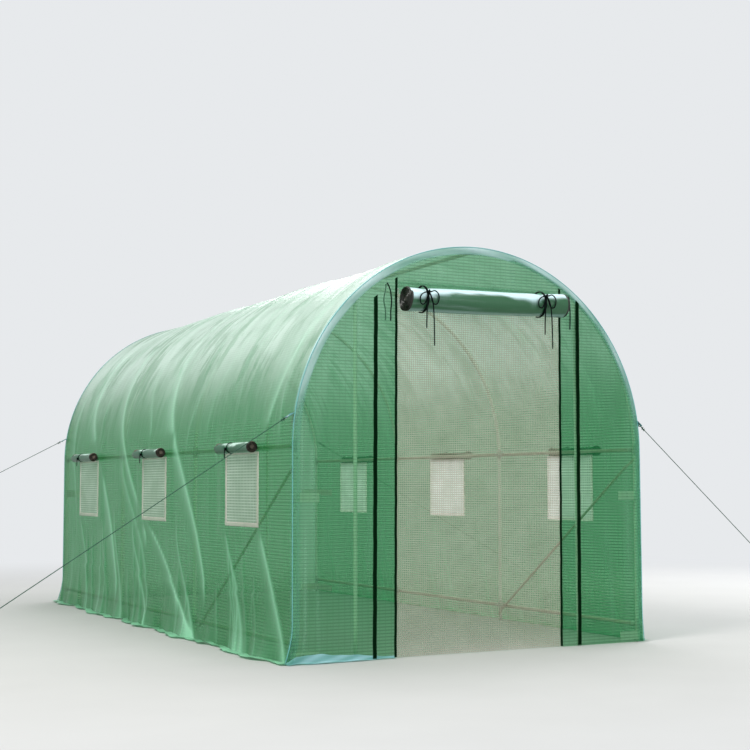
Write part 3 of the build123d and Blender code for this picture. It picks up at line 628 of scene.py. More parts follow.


# Creases of the end walls: (x, z) at the foot and at the top, a half width, a height and the strength of its
# painted highlight
LEFT_CREASES = (
    ((-0.93, 0.0), (-0.955, 1.30), 0.009, 0.005, 0.34), ((-0.86, 0.0), (-0.90, 0.95), 0.012, 0.004, 0.26),
    ((-0.985, 0.1), (-0.80, 1.50), 0.030, 0.004, 0.10),
)
RIGHT_CREASES = (
    ((0.90, 0.0), (0.93, 1.2), 0.02, 0.004, 0.2), ((0.985, 0.1), (0.78, 1.55), 0.03, 0.004, 0.08),
)
BACK_CREASES = (
    ((-0.75, 0.0), (-0.95, 1.2), 0.03, 0.006, 0.2), ((0.75, 0.0), (0.95, 1.2), 0.03, 0.006, 0.2),
    ((-0.2, 0.0), (-0.55, 1.7), 0.03, 0.004, 0.15), ((0.15, 0.0), (0.5, 1.7), 0.03, 0.004, 0.15),
    ((0.35, 0.0), (0.05, 1.6), 0.02, 0.003, 0.1),
)


def build_ends():
    outer_left, inner_left, inner_right, outer_right = [zip_x[name] for name in ZIPS]
    end_panel("front_left_sheet", "front_left_panel", -end_y, -cover_r, outer_left, creases=LEFT_CREASES)
    end_panel("left_strip_sheet", "left_door_strip", -end_y, outer_left, inner_left, seed=2)
    end_panel("door_head_sheet", "door_head", -end_y, inner_left, inner_right, door_head_z, seed=3)
    end_panel("right_strip_sheet", "right_door_strip", -end_y, inner_right, outer_right, seed=4)
    end_panel("front_right_sheet", "front_right_panel", -end_y, outer_right, cover_r, creases=RIGHT_CREASES)
    end_panel("back_sheet", "back_wall", end_y, -cover_r, cover_r, step=0.020, creases=BACK_CREASES, seed=5)


def arch_line(radius, foot=0.0, leg_points=30, arc_points=97):
    """Points up a leg, round the arch and down the other leg: (x, z)."""
    leg = np.linspace(foot, leg_height, leg_points)
    bow = [(x, leg_height + up) for x, up in arc(radius, math.pi, 0, arc_points)[1:-1]]
    return np.array([(-radius, z) for z in leg] + bow + [(radius, z) for z in leg[::-1]])


# The edge band's profile from its inner edge: (inwards, outwards) on the end, then on the cover's side,
# and how pale each of its points is: the doubled film's own paler tone with a painted highlight
BAND_ON_END = ((0.038, 0.0), (0.030, 0.0008), (0.018, 0.0014), (0.006, 0.0018), (-0.0005, 0.0002))
BAND_ON_SIDE = ((-0.0018, -0.004), (-0.0018, -0.014), (-0.0010, -0.020))
BAND_PALE = (0.35, 0.7, 0.8, 0.9, 0.875, 0.85, 0.75, 0.4)
BAND_FLARE, BAND_FLARE_FROM, BAND_FOOT, BEAD_FOOT, BEAD_R = 0.038, 0.88, 0.002, 0.004, 0.0019
# The height where the band's painted glare starts and over what rise, and how dim its face is at the right,
# in painted shade
BAND_GLARE_FROM, BAND_GLARE_RISE, BAND_SHADE, BAND_SHADE_FROM = 0.9, 0.6, 0.3, 0.2


def build_edge_bands():
    """The welded seam at each end: a strip over the corner between the cover and the end sheet."""
    profile = [(half_width - inset, half_length + rise) for inset, rise in BAND_ON_END + BAND_ON_SIDE]
    across = distances(np.array(profile))
    run = distances(arch_line(1.0))
    over, along = grid(across, run)
    for name, arch, end in (("front_edge_band", "front_arch", -1), ("back_edge_band", "back_arch", 1)):
        rings = [arch_line(radius, BAND_FOOT) for radius, _ in profile]
        points = np.stack([np.column_stack([ring[:, 0], np.full(len(ring), end * depth), ring[:, 1]])
                           for ring, (_, depth) in zip(rings, profile)])
        x, z = points[..., 0], points[..., 2]
        x += corner_flare(x, z, BAND_FLARE) * smooth_step((np.abs(x) - BAND_FLARE_FROM) / CORNER_REACH)
        # Its paleness drifts along it, grows with height as painted glare and is cut at the right by painted
        # shade
        drift = 0.18 * np.sin(along * 3.1 + 1.0) * np.sin(along * 7.7)
        drift += 0.12 * np.sin(along * 19.0 + over * 90)
        fold = np.array(BAND_PALE)[:, None] * (0.76 + drift)
        fold *= 0.15 + 0.85 * smooth_step((z - BAND_GLARE_FROM) / BAND_GLARE_RISE)
        fold *= np.where((over < across[2]) & (x > BAND_SHADE_FROM), BAND_SHADE, 1.0)
        piece = add_grid(name, points, over, along, band_film, "cover_sheet", fold=fold)
        corner = arch_line(half_width + 0.0002, BEAD_FOOT)
        line = np.insert(corner, 1, end * (half_length + 0.0006), axis=1)
        line[:, 0] += corner_flare(corner[:, 0], corner[:, 1], BAND_FLARE)
        tube = sweep(line, BEAD_R, 8, first_axis=(0, 1, 0))
        bead = add_shapes(name + "_bead", [tube], seam_bead, "cover_sheet")


# The frame's tubes, round and smooth, and the fittings that join them
# The sleeves sit at these angles up the arch from each side
SLEEVE_TURNS = {-1: (math.radians(36), math.radians(90)), 1: (math.radians(36),)}
SLEEVE_OVER, SLEEVE_HALF = 0.0012, 0.022
RAIL_GAP = 0.0135
FITTING_R, FITTING_BORE, FITTING_HALF = 0.0128, tube_r + 0.0006, 0.028
SOCKET_OUT, SOCKET_HALF = 0.0265, 0.0155


def add_tube(name, paths, material, replaced, axis=(0, 1, 0), sleeves=()):
    tubes = [sweep(path, tube_r, 20, first_axis=axis) for path in paths]
    add_shapes(name, [*tubes, *sleeves], material, "frame_tube", (replaced,))


def build_frame():
    outline = arch_line(arch_r, leg_points=12, arc_points=73)
    for name, y in zip(ARCHES, arch_y):
        sleeves = []
        for side, turns in SLEEVE_TURNS.items():
            for turn in turns:
                place = (side * arch_r * math.cos(turn), y, leg_height + arch_r * math.sin(turn))
                way = (side * math.sin(turn), 0, -math.cos(turn))
                sleeves.append(sleeve(place, way, tube_r + SLEEVE_OVER, tube_r - 0.001, SLEEVE_HALF))
        add_tube(name + "_tube", [np.insert(outline, 1, y, axis=1)], tube_paint, name, sleeves=sleeves)
    for name in ("ridge_rail", "left_mid_rail", "right_mid_rail", "left_base_rail", "right_base_rail"):
        x, _, z = middle(name)
        bays = [np.linspace(start + RAIL_GAP, stop - RAIL_GAP, 8) for start, stop in zip(arch_y, arch_y[1:])]
        add_tube(name + "_tubes", [[(x, y, z) for y in bay] for bay in bays], rail_paint, name, (0, 0, 1))
    for name in ("left_door_post", "right_door_post", "left_back_post", "right_back_post"):
        x, y, _ = middle(name)
        top = leg_height + math.sqrt(arch_r**2 - x**2) - tube_r
        add_tube(name + "_tube", [[(x, y, z) for z in np.linspace(0, top, 12)]], tube_paint, name)


def build_fittings():
    for name, axis, places in (
        ("ridge_fittings", (1, 0, 0), [(0.0, leg_height + arch_r)]),
        ("mid_rail_fittings", (0, 0, 1), [(side * arch_r, mid_rail_z) for _, side in SIDES]),
        ("base_rail_fittings", (0, 0, 1), [(side * arch_r, base_rail_z) for _, side in SIDES]),
    ):
        shapes = []
        for x, z in places:
            for index, y in enumerate(arch_y):
                shapes.append(sleeve((x, y, z), axis, FITTING_R, FITTING_BORE, FITTING_HALF))
                for way in (-1, 1):
                    if 0 <= index + way < len(arch_y):
                        socket = (x, y + way * SOCKET_OUT, z)
                        shapes.append(sleeve(socket, (0, 1, 0), FITTING_R, FITTING_BORE, SOCKET_HALF))
        add_shapes(name + "_moulded", shapes, fitting_plastic, "fitting", (name,))


# The braces: the tube's radius, the half thickness and half width of its flat ends, and how flat it is
# at each distance from a bolt
BRACE_R, BRACE_FLAT, BRACE_TIP, BRACE_IN = 0.007, 0.001, 0.0055, 0.020
BRACE_TOP_Z, BRACE_FOOT_Z = 0.945, 0.038
FLATNESS = ((-0.008, 1.0), (-0.007, 1.0), (0.0, 1.0), (0.022, 1.0), (0.030, 0.9), (0.040, 0.5), (0.050, 0.12),
            (0.060, 0.0))
BOLT_HEAD = ((0.0, 0.0), (0.0045, 0.0), (0.0045, 0.002), (0.003, 0.0035), (0.0, 0.0038))


def build_braces():
    """A tube with ends pressed flat against the legs."""
    for name, side in (("left_brace", -1), ("right_brace", 1)):
        x = side * (arch_r - BRACE_IN)
        flat_x = side * (arch_r - tube_r - 0.0014)
        top, foot = np.array((x, arch_y[0], BRACE_TOP_Z)), np.array((x, arch_y[1], BRACE_FOOT_Z))
        span = float(np.linalg.norm(foot - top))
        ends = np.array([*FLATNESS, (span / 2, 0.0), *[(span - s, flat) for s, flat in FLATNESS[::-1]]])
        stations, flats = ends.T
        path = top + unit(foot - top) * stations[:, None]
        path[:, 0] += (flat_x - x) * flats
        wide = BRACE_R + BRACE_FLAT * flats
        wide[[0, -1]] = BRACE_TIP
        thick = BRACE_R + (BRACE_FLAT - BRACE_R) * flats
        shapes = [sweep(path, np.stack([thick, wide], 1), 20, first_axis=(1, 0, 0))]
        for _, y, z in (top, foot):
            shapes.append(lathe(BOLT_HEAD, (flat_x - side * 0.001, y, z), (-side, 0, 0), 16))
        add_shapes(name + "_tube", shapes, rail_paint, "frame_tube", (name,))


# Rolled sheets
UP = np.array((0.0, 0.0, 1.0))
# The step into a roll's painted shade at its ends, how unevenly its turns end, its dents, and its height
# against its width
EDGE_STEP, END_SHIFT, ROLL_DENTS, DENT_DEPTH, ROLL_OVAL = 0.002, 0.0022, 9, 0.030, 0.985


def spiral_roll(name, replaced, centre, along, half, radii, turns, thick, squeeze, columns, start, direction,
                edge, end_shade, material, shine=0.92, lit_from=0.05, sag=0.0, tilt=0.0, seed=1):
    """A sheet rolled up on itself, between an outer and an inner radius.

    Squeeze gives places along it where a tie pinches it: the place, by how much and over what length.
    Edge is the width of painted shade at each end, dark like the gaps between the turns that show there.
    """
    outer, inner = radii
    centre, along = np.array(centre), np.array(along, float)
    turn = np.linspace(0, turns * 2 * math.pi, int(turns * 36) + 1)
    a, s = grid(turn, columns)
    radius = outer - thick / 2 - (outer - thick / 2 - inner) * a / turn[-1]
    rng = np.random.default_rng(seed)
    pinch = sum(amount * np.exp(-(((s - place) / width) ** 2)) for place, amount, width in squeeze)
    dents = np.zeros_like(s)
    for _ in range(ROLL_DENTS):
        k, m, p = rng.uniform(1.2, 5.0) / half, rng.integers(1, 5), rng.uniform(0, 6.3)
        dents += 0.33 * np.sin(k * s + p) * np.cos(m * a + p * 3)
    radius = radius * (1 - pinch / outer) + dents * DENT_DEPTH * radius
    at_end = smooth_step((np.abs(s) / half - 0.9) / 0.1)
    shift = END_SHIFT * np.sin(a * 1.7 + seed) * at_end * np.sign(s)
    angle = start + direction * a
    across = radius * np.cos(angle)
    sagging = sag * np.sin(math.pi * (s / (2 * half) + 0.5))
    rise = radius * np.sin(angle) * ROLL_OVAL - sagging + tilt * s / half
    points = centre + (s + shift)[..., None] * along
    points = points + across[..., None] * np.cross(UP, along) + rise[..., None] * UP
    run = np.repeat((radius.mean(1) * turn)[:, None], len(columns), 1)
    # Painted highlight: paler over the top of the roll, its edge wavering, and a thin pale line low on its
    # underside
    wave = 0.16 * np.sin(s * 9 / half + seed) + 0.10 * np.sin(s * 23 / half + 2 * seed) + 0.5 * dents
    lit = smooth_step((np.sin(angle) + wave - lit_from) / 0.55) * shine
    lit = np.maximum(lit, 0.35 * np.exp(-(((np.sin(angle) + 0.93) / 0.10) ** 2)))
    # Painted shade: the last stretch at each end is dark, like the gaps between its turns
    dark = smooth_step((np.abs(s) - half + edge) / EDGE_STEP)
    piece = add_grid(name, points, run, s, material, "rolled_sheet", (replaced,), fold=lit, edge=dark)
    solid = piece.modifiers.new("thickness", "SOLIDIFY")
    solid.thickness = thick
    solid.offset = 0
    # Dark plugs inside both ends: painted shade standing for the shaded inner turns
    plugs = []
    for end in (-1, 1):
        rim = [(0.0, 0.0), (0.6 * outer, 0.0), (0.93 * outer, -0.0005 * end), (0.93 * outer, -0.004 * end),
               (0.0, -0.004 * end)]
        plugs.append(lathe(rim, centre + end * ((half - 0.005) * along + tilt * UP), along, 32))
    inside = add_shapes(name + "_end_shade_plugs", plugs, end_shade, "rolled_sheet")


def roll_columns(half, edge, between, step):
    """Places along a roll, close together where the painted shade at its ends begins."""
    start = [-half, edge - half - EDGE_STEP, edge - half]
    return spread((*start, *between, *[-place for place in start[::-1]]), step)


roll_low, roll_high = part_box("rolled_door")
door_roll_d = 0.127
door_roll_y, door_roll_z = roll_low.y + door_roll_d / 2, roll_low.z + door_roll_d / 2
door_roll_x, door_roll_half = (roll_low.x + roll_high.x) / 2, (roll_high.x - roll_low.x) / 2
# The bows: their places along the roll and how far they stand above its middle
DOOR_KNOTS = ((-0.350, 0.018), (0.328, 0.038))
DOOR_ROLL_TILT, DOOR_ROLL_SAG = 0.009, 0.004
# A rolled sheet's turns, its thickness and its innermost radius
DOOR_TURNS, DOOR_THICK, DOOR_CORE = 7.6, 0.0022, 0.012
WINDOW_TURNS, WINDOW_THICK, WINDOW_CORE = 3.6, 0.0016, 0.010


def build_door_roll():
    squeeze = [(x - door_roll_x, 0.0050, 0.035) for x, _ in DOOR_KNOTS]
    edge = 0.012
    columns = roll_columns(door_roll_half, edge, (0.06 - door_roll_half, door_roll_half - 0.06), 0.021)
    spiral_roll("rolled_door_sheet", "rolled_door", (door_roll_x, door_roll_y, door_roll_z), (1, 0, 0),
                door_roll_half, (door_roll_d / 2, DOOR_CORE), DOOR_TURNS, DOOR_THICK, squeeze, columns,
                math.radians(150), 1, edge, door_roll_end_shade, roll_film, sag=DOOR_ROLL_SAG,
                tilt=DOOR_ROLL_TILT, seed=4)
    # The flap from the top of the roll up to the seam above the door
    low, top = door_roll_z + 0.020, roll_high.z
    profile = np.array([(0.0015, top), (0.002, top - 0.02), (0.003, low + 0.02), (0.006, low)])
    x, k = grid(spread((roll_low.x, roll_high.x), 0.02), np.arange(len(profile)))
    z = profile[k, 1]
    flap = add_grid("door_flap_sheet", np.stack([x, -half_length - profile[k, 0], z], -1), x, top - z,
                    panel_film, "rolled_sheet", fold=np.full(x.size, 0.2))


# The window flaps' rolls: the tie's place from the window's middle, and the roll's middle in its box
WINDOW_ROLL_R, WINDOW_ROLL_IN, WINDOW_TIE_Y = 0.0300, 0.028, 0.060


def window_roll_place(side_name, side):
    """The x and z of the middle of a side's window rolls, and their half length."""
    low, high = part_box(f"{side_name}_window_rolls")
    half = (high.y - low.y - (window_y[-1] - window_y[0])) / 2
    return (high.x if side > 0 else low.x) - side * WINDOW_ROLL_IN, low.z + WINDOW_ROLL_IN, half


def build_window_rolls():
    squeeze, edge = [(WINDOW_TIE_Y, 0.0062, 0.020)], 0.009
    for side_name, side in SIDES:
        x, z, half = window_roll_place(side_name, side)
        columns = roll_columns(half, edge, (0.03 - half, 0.0, 0.03, 0.09, half - 0.03), 0.022)
        start = math.radians(150 if side > 0 else 30)
        for index, y in enumerate(window_y):
            name = f"{side_name}_window_roll_{index + 1}"
            spiral_roll(name, f"{side_name}_window_rolls", (x, y, z), (0, 1, 0), half,
                        (WINDOW_ROLL_R, WINDOW_CORE), WINDOW_TURNS, WINDOW_THICK, squeeze, columns, start,
                        side, edge, window_roll_end_shade, window_roll_film, shine=0.9, lit_from=0.55,
                        seed=10 + index + (side > 0) * len(window_y))


# Nets. A border laps over the window's edge, and goes in by its widths at the sides, foot and head
BORDER_OVER, BORDER_SIDE, BORDER_FOOT, BORDER_HEAD = 0.002, 0.017, 0.018, 0.008
BORDER_INNER, BORDER_OUTER = cover_r - 0.0010, cover_r + 0.0022


def bulge(across, up):
    """0 at the edges of a sheet and 1 in its middle."""
    def share(value):
        return np.sin(math.pi * (value - value.min()) / (value.max() - value.min()))
    return share(across) * share(up)


def build_nets():
    low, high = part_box("net_door")
    left, right = zip_x["inner_left_zip"], zip_x["inner_right_zip"]
    x, z = grid(spread((left, right), 0.03), spread((low.z, high.z), 0.03))
    y = -end_y + 0.0008 + bulge(x, z) * 0.004 * np.sin(4 * x + 3 * z + 1)
    piece = add_grid("net_door_sheet", np.stack([x + lean(x, z), y, z], -1), x, z, door_net, "door_net",
                     ("net_door",))
    for side_name, side in SIDES:
        for index, centre in enumerate(window_y):
            start, stop = centre - window_half, centre + window_half
            y, z = grid(spread((start, stop), 0.02), spread((window_low, window_high), 0.02))
            x = side * (cover_r + 0.0004 + 0.003 * bulge(y, z) * np.sin(9 * y + 5 * z))
            net = add_grid(f"{side_name}_window_net_{index + 1}", np.stack([x, y, z], -1), y, z, window_net,
                           "window_net", (f"{side_name}_window_nets",))
            from_y, to_y = start - BORDER_OVER, stop + BORDER_OVER
            foot, head = window_low + BORDER_FOOT, window_high - BORDER_HEAD
            borders = [band_box(side, *band) for band in (
                (from_y, start + BORDER_SIDE, foot, head), (stop - BORDER_SIDE, to_y, foot, head),
                (from_y, to_y, window_low - BORDER_OVER, foot),
                (from_y, to_y, head, window_high + BORDER_OVER))]
            border = add_shapes(f"{side_name}_window_border_{index + 1}", borders, net_border, "window_net",
                                smooth=False)


def band_box(side, y_from, y_to, z_from, z_to):
    """A thin sewn tape: its face towards the outside, and its four edges."""
    corners = [(side * x, y, z) for x in (BORDER_INNER, BORDER_OUTER)
               for y in (y_from, y_to) for z in (z_from, z_to)]
    return corners, [(4, 6, 7, 5), (0, 4, 5, 1), (2, 3, 7, 6), (0, 2, 6, 4), (1, 5, 7, 3)]


# Zips: a tape with two rows of teeth that mesh. The tape's points across it, in its width, and their lift
TAPE_ACROSS = (-0.5, -0.42, -0.15, 0.0, 0.15, 0.42, 0.5)
TAPE_LIFT = (0.0004, 0.0012, 0.0014, 0.0015, 0.0014, 0.0012, 0.0004)
TOOTH_WIDTH, TOOTH_DEPTH, TOOTH_HEIGHT = 0.0046, 0.0028, 0.0034
TOOTH_PITCH, TOOTH_OFF, TOOTH_LIFT, TOOTH_CUT, ZIP_END = 0.0056, 0.0016, 0.0012, 0.3, 0.01


def build_zips():
    face = -half_length - 0.0004
    for name, x in zip_x.items():
        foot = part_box(name)[0].z
        xs = x + zip_width[name] * np.array(TAPE_ACROSS)
        tops = leg_height + np.sqrt(zip_top_r[name] ** 2 - xs**2)
        up, across = grid(np.linspace(0, 1, 90), xs)
        z = foot + up * (tops - foot)
        wave = 0.0006 * np.sin(z * 23 + x * 7) + 0.0004 * np.sin(z * 61)
        tape = np.stack([across + wave + lean(x, z), face - np.array(TAPE_LIFT) + 0 * z, z], -1)
        shapes = [(tape, grid_faces(*z.shape))]
        for row in (-1, 1):
            for k in range(int((tops.min() - foot - 2 * ZIP_END) / TOOTH_PITCH)):
                centre = foot + ZIP_END + (k + 0.25 * row) * TOOTH_PITCH
                tooth_x = x + row * TOOTH_OFF + float(lean(x, centre))
                shapes.append(tooth(tooth_x, face - TOOTH_LIFT, centre))
        add_shapes(name + "_teeth_and_tape", shapes, zip_tape, "zip_tape", (name,), smooth=False)


def tooth(x, y, z):
    """A small block with its outer edges cut back."""
    corners = [(a * TOOTH_WIDTH / 2, b * TOOTH_HEIGHT / 2) for a, b in ((-1, -1), (1, -1), (1, 1), (-1, 1))]
    back = [(x + a, y, z + b) for a, b in corners]
    front = [(x + a * (1 - TOOTH_CUT), y - TOOTH_DEPTH, z + b * (1 - TOOTH_CUT)) for a, b in corners]
    return back + front, [(4, 5, 6, 7), (0, 1, 5, 4), (1, 2, 6, 5), (2, 3, 7, 6), (3, 0, 4, 7)]


# Ties. Their routes are in millimetres across and up: from the knot for the bows and window tails,
# and from the middle of the door end for the spare ties
BOW_LOOPS = {
    "left": ((-11, 2), (-28, -2), (-45, -16), (-50, -37), (-45, -57), (-27, -60), (-17, -44), (-10, -26),
             (-8, -11)),
    "right": ((12, 3), (27, 12), (44, 6), (56, -11), (55, -34), (46, -54), (28, -57), (17, -42), (13, -26),
              (8, -11)),
}
BOW_TAILS = (
    {"left": ((-3.5, -8.5), (-8, -28), (-12.5, -62), (-15.5, -100), (-17, -138), (-17.5, -174)),
     "right": ((3.5, -8.5), (13, -26), (19.5, -56), (22.5, -98), (24, -150), (24.8, -204), (25, -257))},
    {"left": ((-3.5, -8.5), (-7.5, -28), (-11.5, -64), (-14.5, -106), (-16.3, -150), (-16.8, -193)),
     "right": ((3.5, -8.5), (13.5, -26), (21, -56), (25, -99), (26.8, -152), (27.7, -208), (28, -263))},
)
SPARE_TIES = (
    ("spare_tie_left_outside", -1, ((-505, 1790), (-494.5, 1773), (-487, 1752), (-484, 1728), (-481.5, 1702),
                                    (-483.5, 1678), (-487, 1653), (-486, 1629), (-487, 1606))),
    ("spare_tie_right", -1, ((558, 1787), (562, 1760), (564.5, 1725), (565, 1688), (564, 1650), (562, 1614))),
    ("spare_tie_left_inside", 1, ((-506, 1786), (-507.5, 1764), (-513, 1738), (-519, 1713), (-517, 1689),
                                  (-510, 1666), (-508, 1637), (-510.3, 1609))),
)
WINDOW_TAIL = ((0, -6), (3, -29), (3.5, -52))
TIE_D, WINDOW_TIE_D, BLUNT_END = 0.006, 0.005, 0.72
WINDOW_KNOT_Z = 1.001


def nurbs_points(name, points):
    """A smooth line through the route: a NURBS spline with the route's points as its control points."""
    curve = bpy.data.curves.new(name, "CURVE")
    curve.dimensions = "3D"
    curve.resolution_u = 10
    spline = curve.splines.new("NURBS")
    spline.points.add(len(points) - 1)
    for point, place in zip(spline.points, points):
        point.co = (*place, 1)
    spline.order_u = 3
    spline.use_endpoint_u = True
    holder = bpy.data.objects.new(name, curve)
    bpy.context.scene.collection.objects.link(holder)
    bpy.context.view_layer.update()
    line = bpy.data.meshes.new_from_object(holder)
    path = np.array([v.co for v in line.vertices])
    bpy.data.objects.remove(holder)
    bpy.data.curves.remove(curve)
    bpy.data.meshes.remove(line)
    return path


def build_cord(name, route, diameter, replaced, far_end="bare"):
    path = nurbs_points(name, route)
    radius = np.full(len(path), diameter / 2)
    if far_end == "bare":
        radius[-1] *= BLUNT_END
    shape, faces, sheet = sweep(path, radius, 12)
    piece = add_piece(name, shape, faces, tie_cord, "tie_cord", (replaced,), sheet=sheet)


def build_ties():
    for (x, rise), (side, _), tails in zip(DOOR_KNOTS, SIDES, BOW_TAILS):
        for kind, routes, far_end in (("loop", BOW_LOOPS, "object"), ("tail", tails, "bare")):
            node = f"door_tie_{kind}s"
            y = middle(node)[1]
            for half, points in routes.items():
                route = [(x + a / 1000, y, door_roll_z + rise + b / 1000) for a, b in points]
                build_cord(f"{side}_bow_{half}_{kind}", route, TIE_D, node, far_end)
    off = film_half + 0.0005 + TIE_D / 2
    for name, way, points in SPARE_TIES:
        build_cord(name, [(a / 1000, -end_y + way * off, b / 1000) for a, b in points], TIE_D, "spare_ties")
    low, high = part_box("window_tie_tails")
    for (side, _), x in zip(SIDES, (low.x + WINDOW_TIE_D / 2, high.x - WINDOW_TIE_D / 2)):
        for index, y in enumerate(window_y):
            route = [(x, y + WINDOW_TIE_Y + a / 1000, WINDOW_KNOT_Z + b / 1000) for a, b in WINDOW_TAIL]
            build_cord(f"{side}_window_tie_tail_{index + 1}", route, WINDOW_TIE_D, "window_tie_tails")


def wrap(centre, along, front, radius, cord_r, from_deg, to_deg, shift=0.0):
    """A cord round a roll, from one angle to another, where 0 is straight out from the sheet and 90 is up."""
    along, front = np.array(along, float), np.array(front, float)
    angles = np.radians(np.linspace(from_deg, to_deg, 48))[:, None]
    path = centre + along * shift + (radius + cord_r) * (np.cos(angles) * front + np.sin(angles) * UP)
    return sweep(path, cord_r, 10, first_axis=tuple(along))


def knot(centre, along, front, size, cord_r):
    """A tight knot: a cord that winds over and under itself."""
    along, front = np.array(along, float), np.array(front, float)
    angles = np.linspace(0, 2 * math.pi, 72, endpoint=False)[:, None]
    across = size[0] * 0.36 * (np.sin(angles) + 0.8 * np.sin(2 * angles))
    rise = size[1] * 0.36 * (np.cos(angles) - 0.8 * np.cos(2 * angles))
    depth = size[2] * 0.30 * -np.sin(3 * angles)
    path = np.asarray(centre, float) + across * along + rise * UP + depth * front
    return sweep(np.concatenate([path, path[:1]]), cord_r, 10, caps=False)


# The wraps round a roll: how far they sink into it, the cord's radius, and the angles from and to
DOOR_SINK, DOOR_WRAP_R, DOOR_WRAP, DOOR_WRAP_GAP = 0.002, 0.0028, (-112, 158), 0.0032
WINDOW_SINK, WINDOW_WRAP_R, WINDOW_WRAP = 0.0065, 0.0025, (-118, 150)
# The knots: their size along, up and out with their cord's radius, and how far out and down they sit
DOOR_KNOT, OVER_KNOT, DOOR_KNOT_OFF = ((0.020, 0.015, 0.016), 0.0034), ((0.014, 0.012, 0.012), 0.0032), 0.009
WINDOW_KNOT, WINDOW_KNOT_OUT, WINDOW_KNOT_DOWN = ((0.013, 0.011, 0.010), 0.0026), 0.0315, 0.004


def build_tie_bands():
    shapes = []
    front, roll_r = (0, -1, 0), door_roll_d / 2
    for x, rise in DOOR_KNOTS:
        centre = (x, door_roll_y, door_roll_z + DOOR_ROLL_TILT * (x - door_roll_x) / door_roll_half)
        for shift in (-DOOR_WRAP_GAP, DOOR_WRAP_GAP):
            shapes.append(wrap(centre, (1, 0, 0), front, roll_r - DOOR_SINK, DOOR_WRAP_R, *DOOR_WRAP, shift))
        y, z = door_roll_y - roll_r - DOOR_KNOT_OFF, door_roll_z + rise
        shapes.append(knot((x, y, z), (1, 0, 0), front, *DOOR_KNOT))
        shapes.append(knot((x, y - 0.002, z - 0.001), (0, 0, 1), front, *OVER_KNOT))
    add_shapes("door_tie_wraps", shapes, tie_cord, "tie_cord", ("door_tie_bands",))
    shapes = []
    for side_name, side in SIDES:
        x, z, _ = window_roll_place(side_name, side)
        along, front, inner = (0, 1, 0), (side, 0, 0), WINDOW_ROLL_R - WINDOW_SINK
        for y in [y + WINDOW_TIE_Y for y in window_y]:
            shapes.append(wrap((x, y, z), along, front, inner, WINDOW_WRAP_R, *WINDOW_WRAP))
            place = (x + side * WINDOW_KNOT_OUT, y, z - WINDOW_KNOT_DOWN)
            shapes.append(knot(place, along, front, *WINDOW_KNOT))
    add_shapes("window_tie_wraps", shapes, tie_cord, "tie_cord", ("window_tie_bands",))


# Guy ropes, tabs and pegs
ROPE_R, ROPE_STEP, ROPE_PITCH, ROPE_KNOT_R = 0.0020, 0.006, 0.021, 0.0019
STRANDS, STRAND_DEPTH = 3, 0.10
TAB_WIDTH, TAB_LENGTH, TAB_THICK, TAB_CORNER, TAB_BEVEL = 0.034, 0.042, 0.003, 0.009, 0.97
EYELET_R, EYELET_IN, EYELET_HALF = 0.004, 0.012, 0.0019
PEG_R, PEG_LENGTH, PEG_LEAN, PEG_HOOK_R = 0.0035, 0.060, math.radians(20), 0.011
ROPE_FOOT_Z = 0.040
# A rope's knots: how far from its head or foot each one is, and its size
HEAD_KNOTS, FOOT_KNOT = ((0.012, 0.010), (0.024, 0.008)), (0.03, 0.009)


def rope_ends(name):
    """The head and the foot of a rope, from the ends of its CAD solid."""
    points = np.array([v.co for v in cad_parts[f"{name}_guy_rope"].data.vertices])
    order = np.argsort(points[:, 2])
    return points[order[-6:]].mean(0), points[order[:6]].mean(0)


def strand_lobes(index, turn):
    """The rope's outline at a step along it: its strands stand out and wind round."""
    wound = turn - 2 * math.pi * index * ROPE_STEP / ROPE_PITCH
    return 1 - STRAND_DEPTH + STRAND_DEPTH * np.abs(np.cos(STRANDS / 2 * wound))


def build_ropes():
    for name in ("front_left", "front_right", "back_left", "back_right"):
        head, foot = rope_ends(name)
        count = int(float(np.linalg.norm(head - foot)) / ROPE_STEP)
        path = [head + (foot - head) * k / count for k in range(count + 1)]
        shapes = [sweep(path, ROPE_R, 9, twist=strand_lobes)]
        way = unit(foot - head)
        across = unit(np.cross(way, UP))
        knots = [(head + way * along, size) for along, size in HEAD_KNOTS]
        knots.append((foot - way * FOOT_KNOT[0], FOOT_KNOT[1]))
        for place, size in knots:
            shapes.append(knot(place, across, np.cross(across, way), [size] * 3, ROPE_KNOT_R))
        add_shapes(f"{name}_rope", shapes, rope_cord, "rope", (f"{name}_guy_rope",))


def tab(start, hole, way, across, normal):
    """A sewn tab with rounded outer corners and a hole, as rings of points round its edge."""
    half, middle_out = TAB_WIDTH / 2 - TAB_CORNER, TAB_LENGTH - TAB_CORNER
    outline = [(0.0, -TAB_WIDTH / 2)]
    for sign, angle in ((-1, -math.pi / 2), (1, 0.0)):
        corner = arc(TAB_CORNER, angle, angle + math.pi / 2, 7)
        outline += [(middle_out + a, sign * half + b) for a, b in corner]
    outline.append((0.0, TAB_WIDTH / 2))
    outer = np.array([start + way * a + across * b for a, b in outline])
    turn = np.linspace(0, 2 * math.pi, len(outer), endpoint=False) + math.radians(-150)
    ring = np.array([hole + EYELET_R * (math.cos(t) * way + math.sin(t) * across) for t in turn])
    bevelled = outer.mean(0) + (outer - outer.mean(0)) * TAB_BEVEL
    rows = [line + normal * depth * TAB_THICK / 2 for line, depth in (
        (bevelled, -1), (outer, -0.4), (outer, 0.4), (bevelled, 1), (ring, 1), (ring, -1), (bevelled, -1))]
    return np.concatenate(rows), grid_faces(len(rows), len(outer), closed=True)


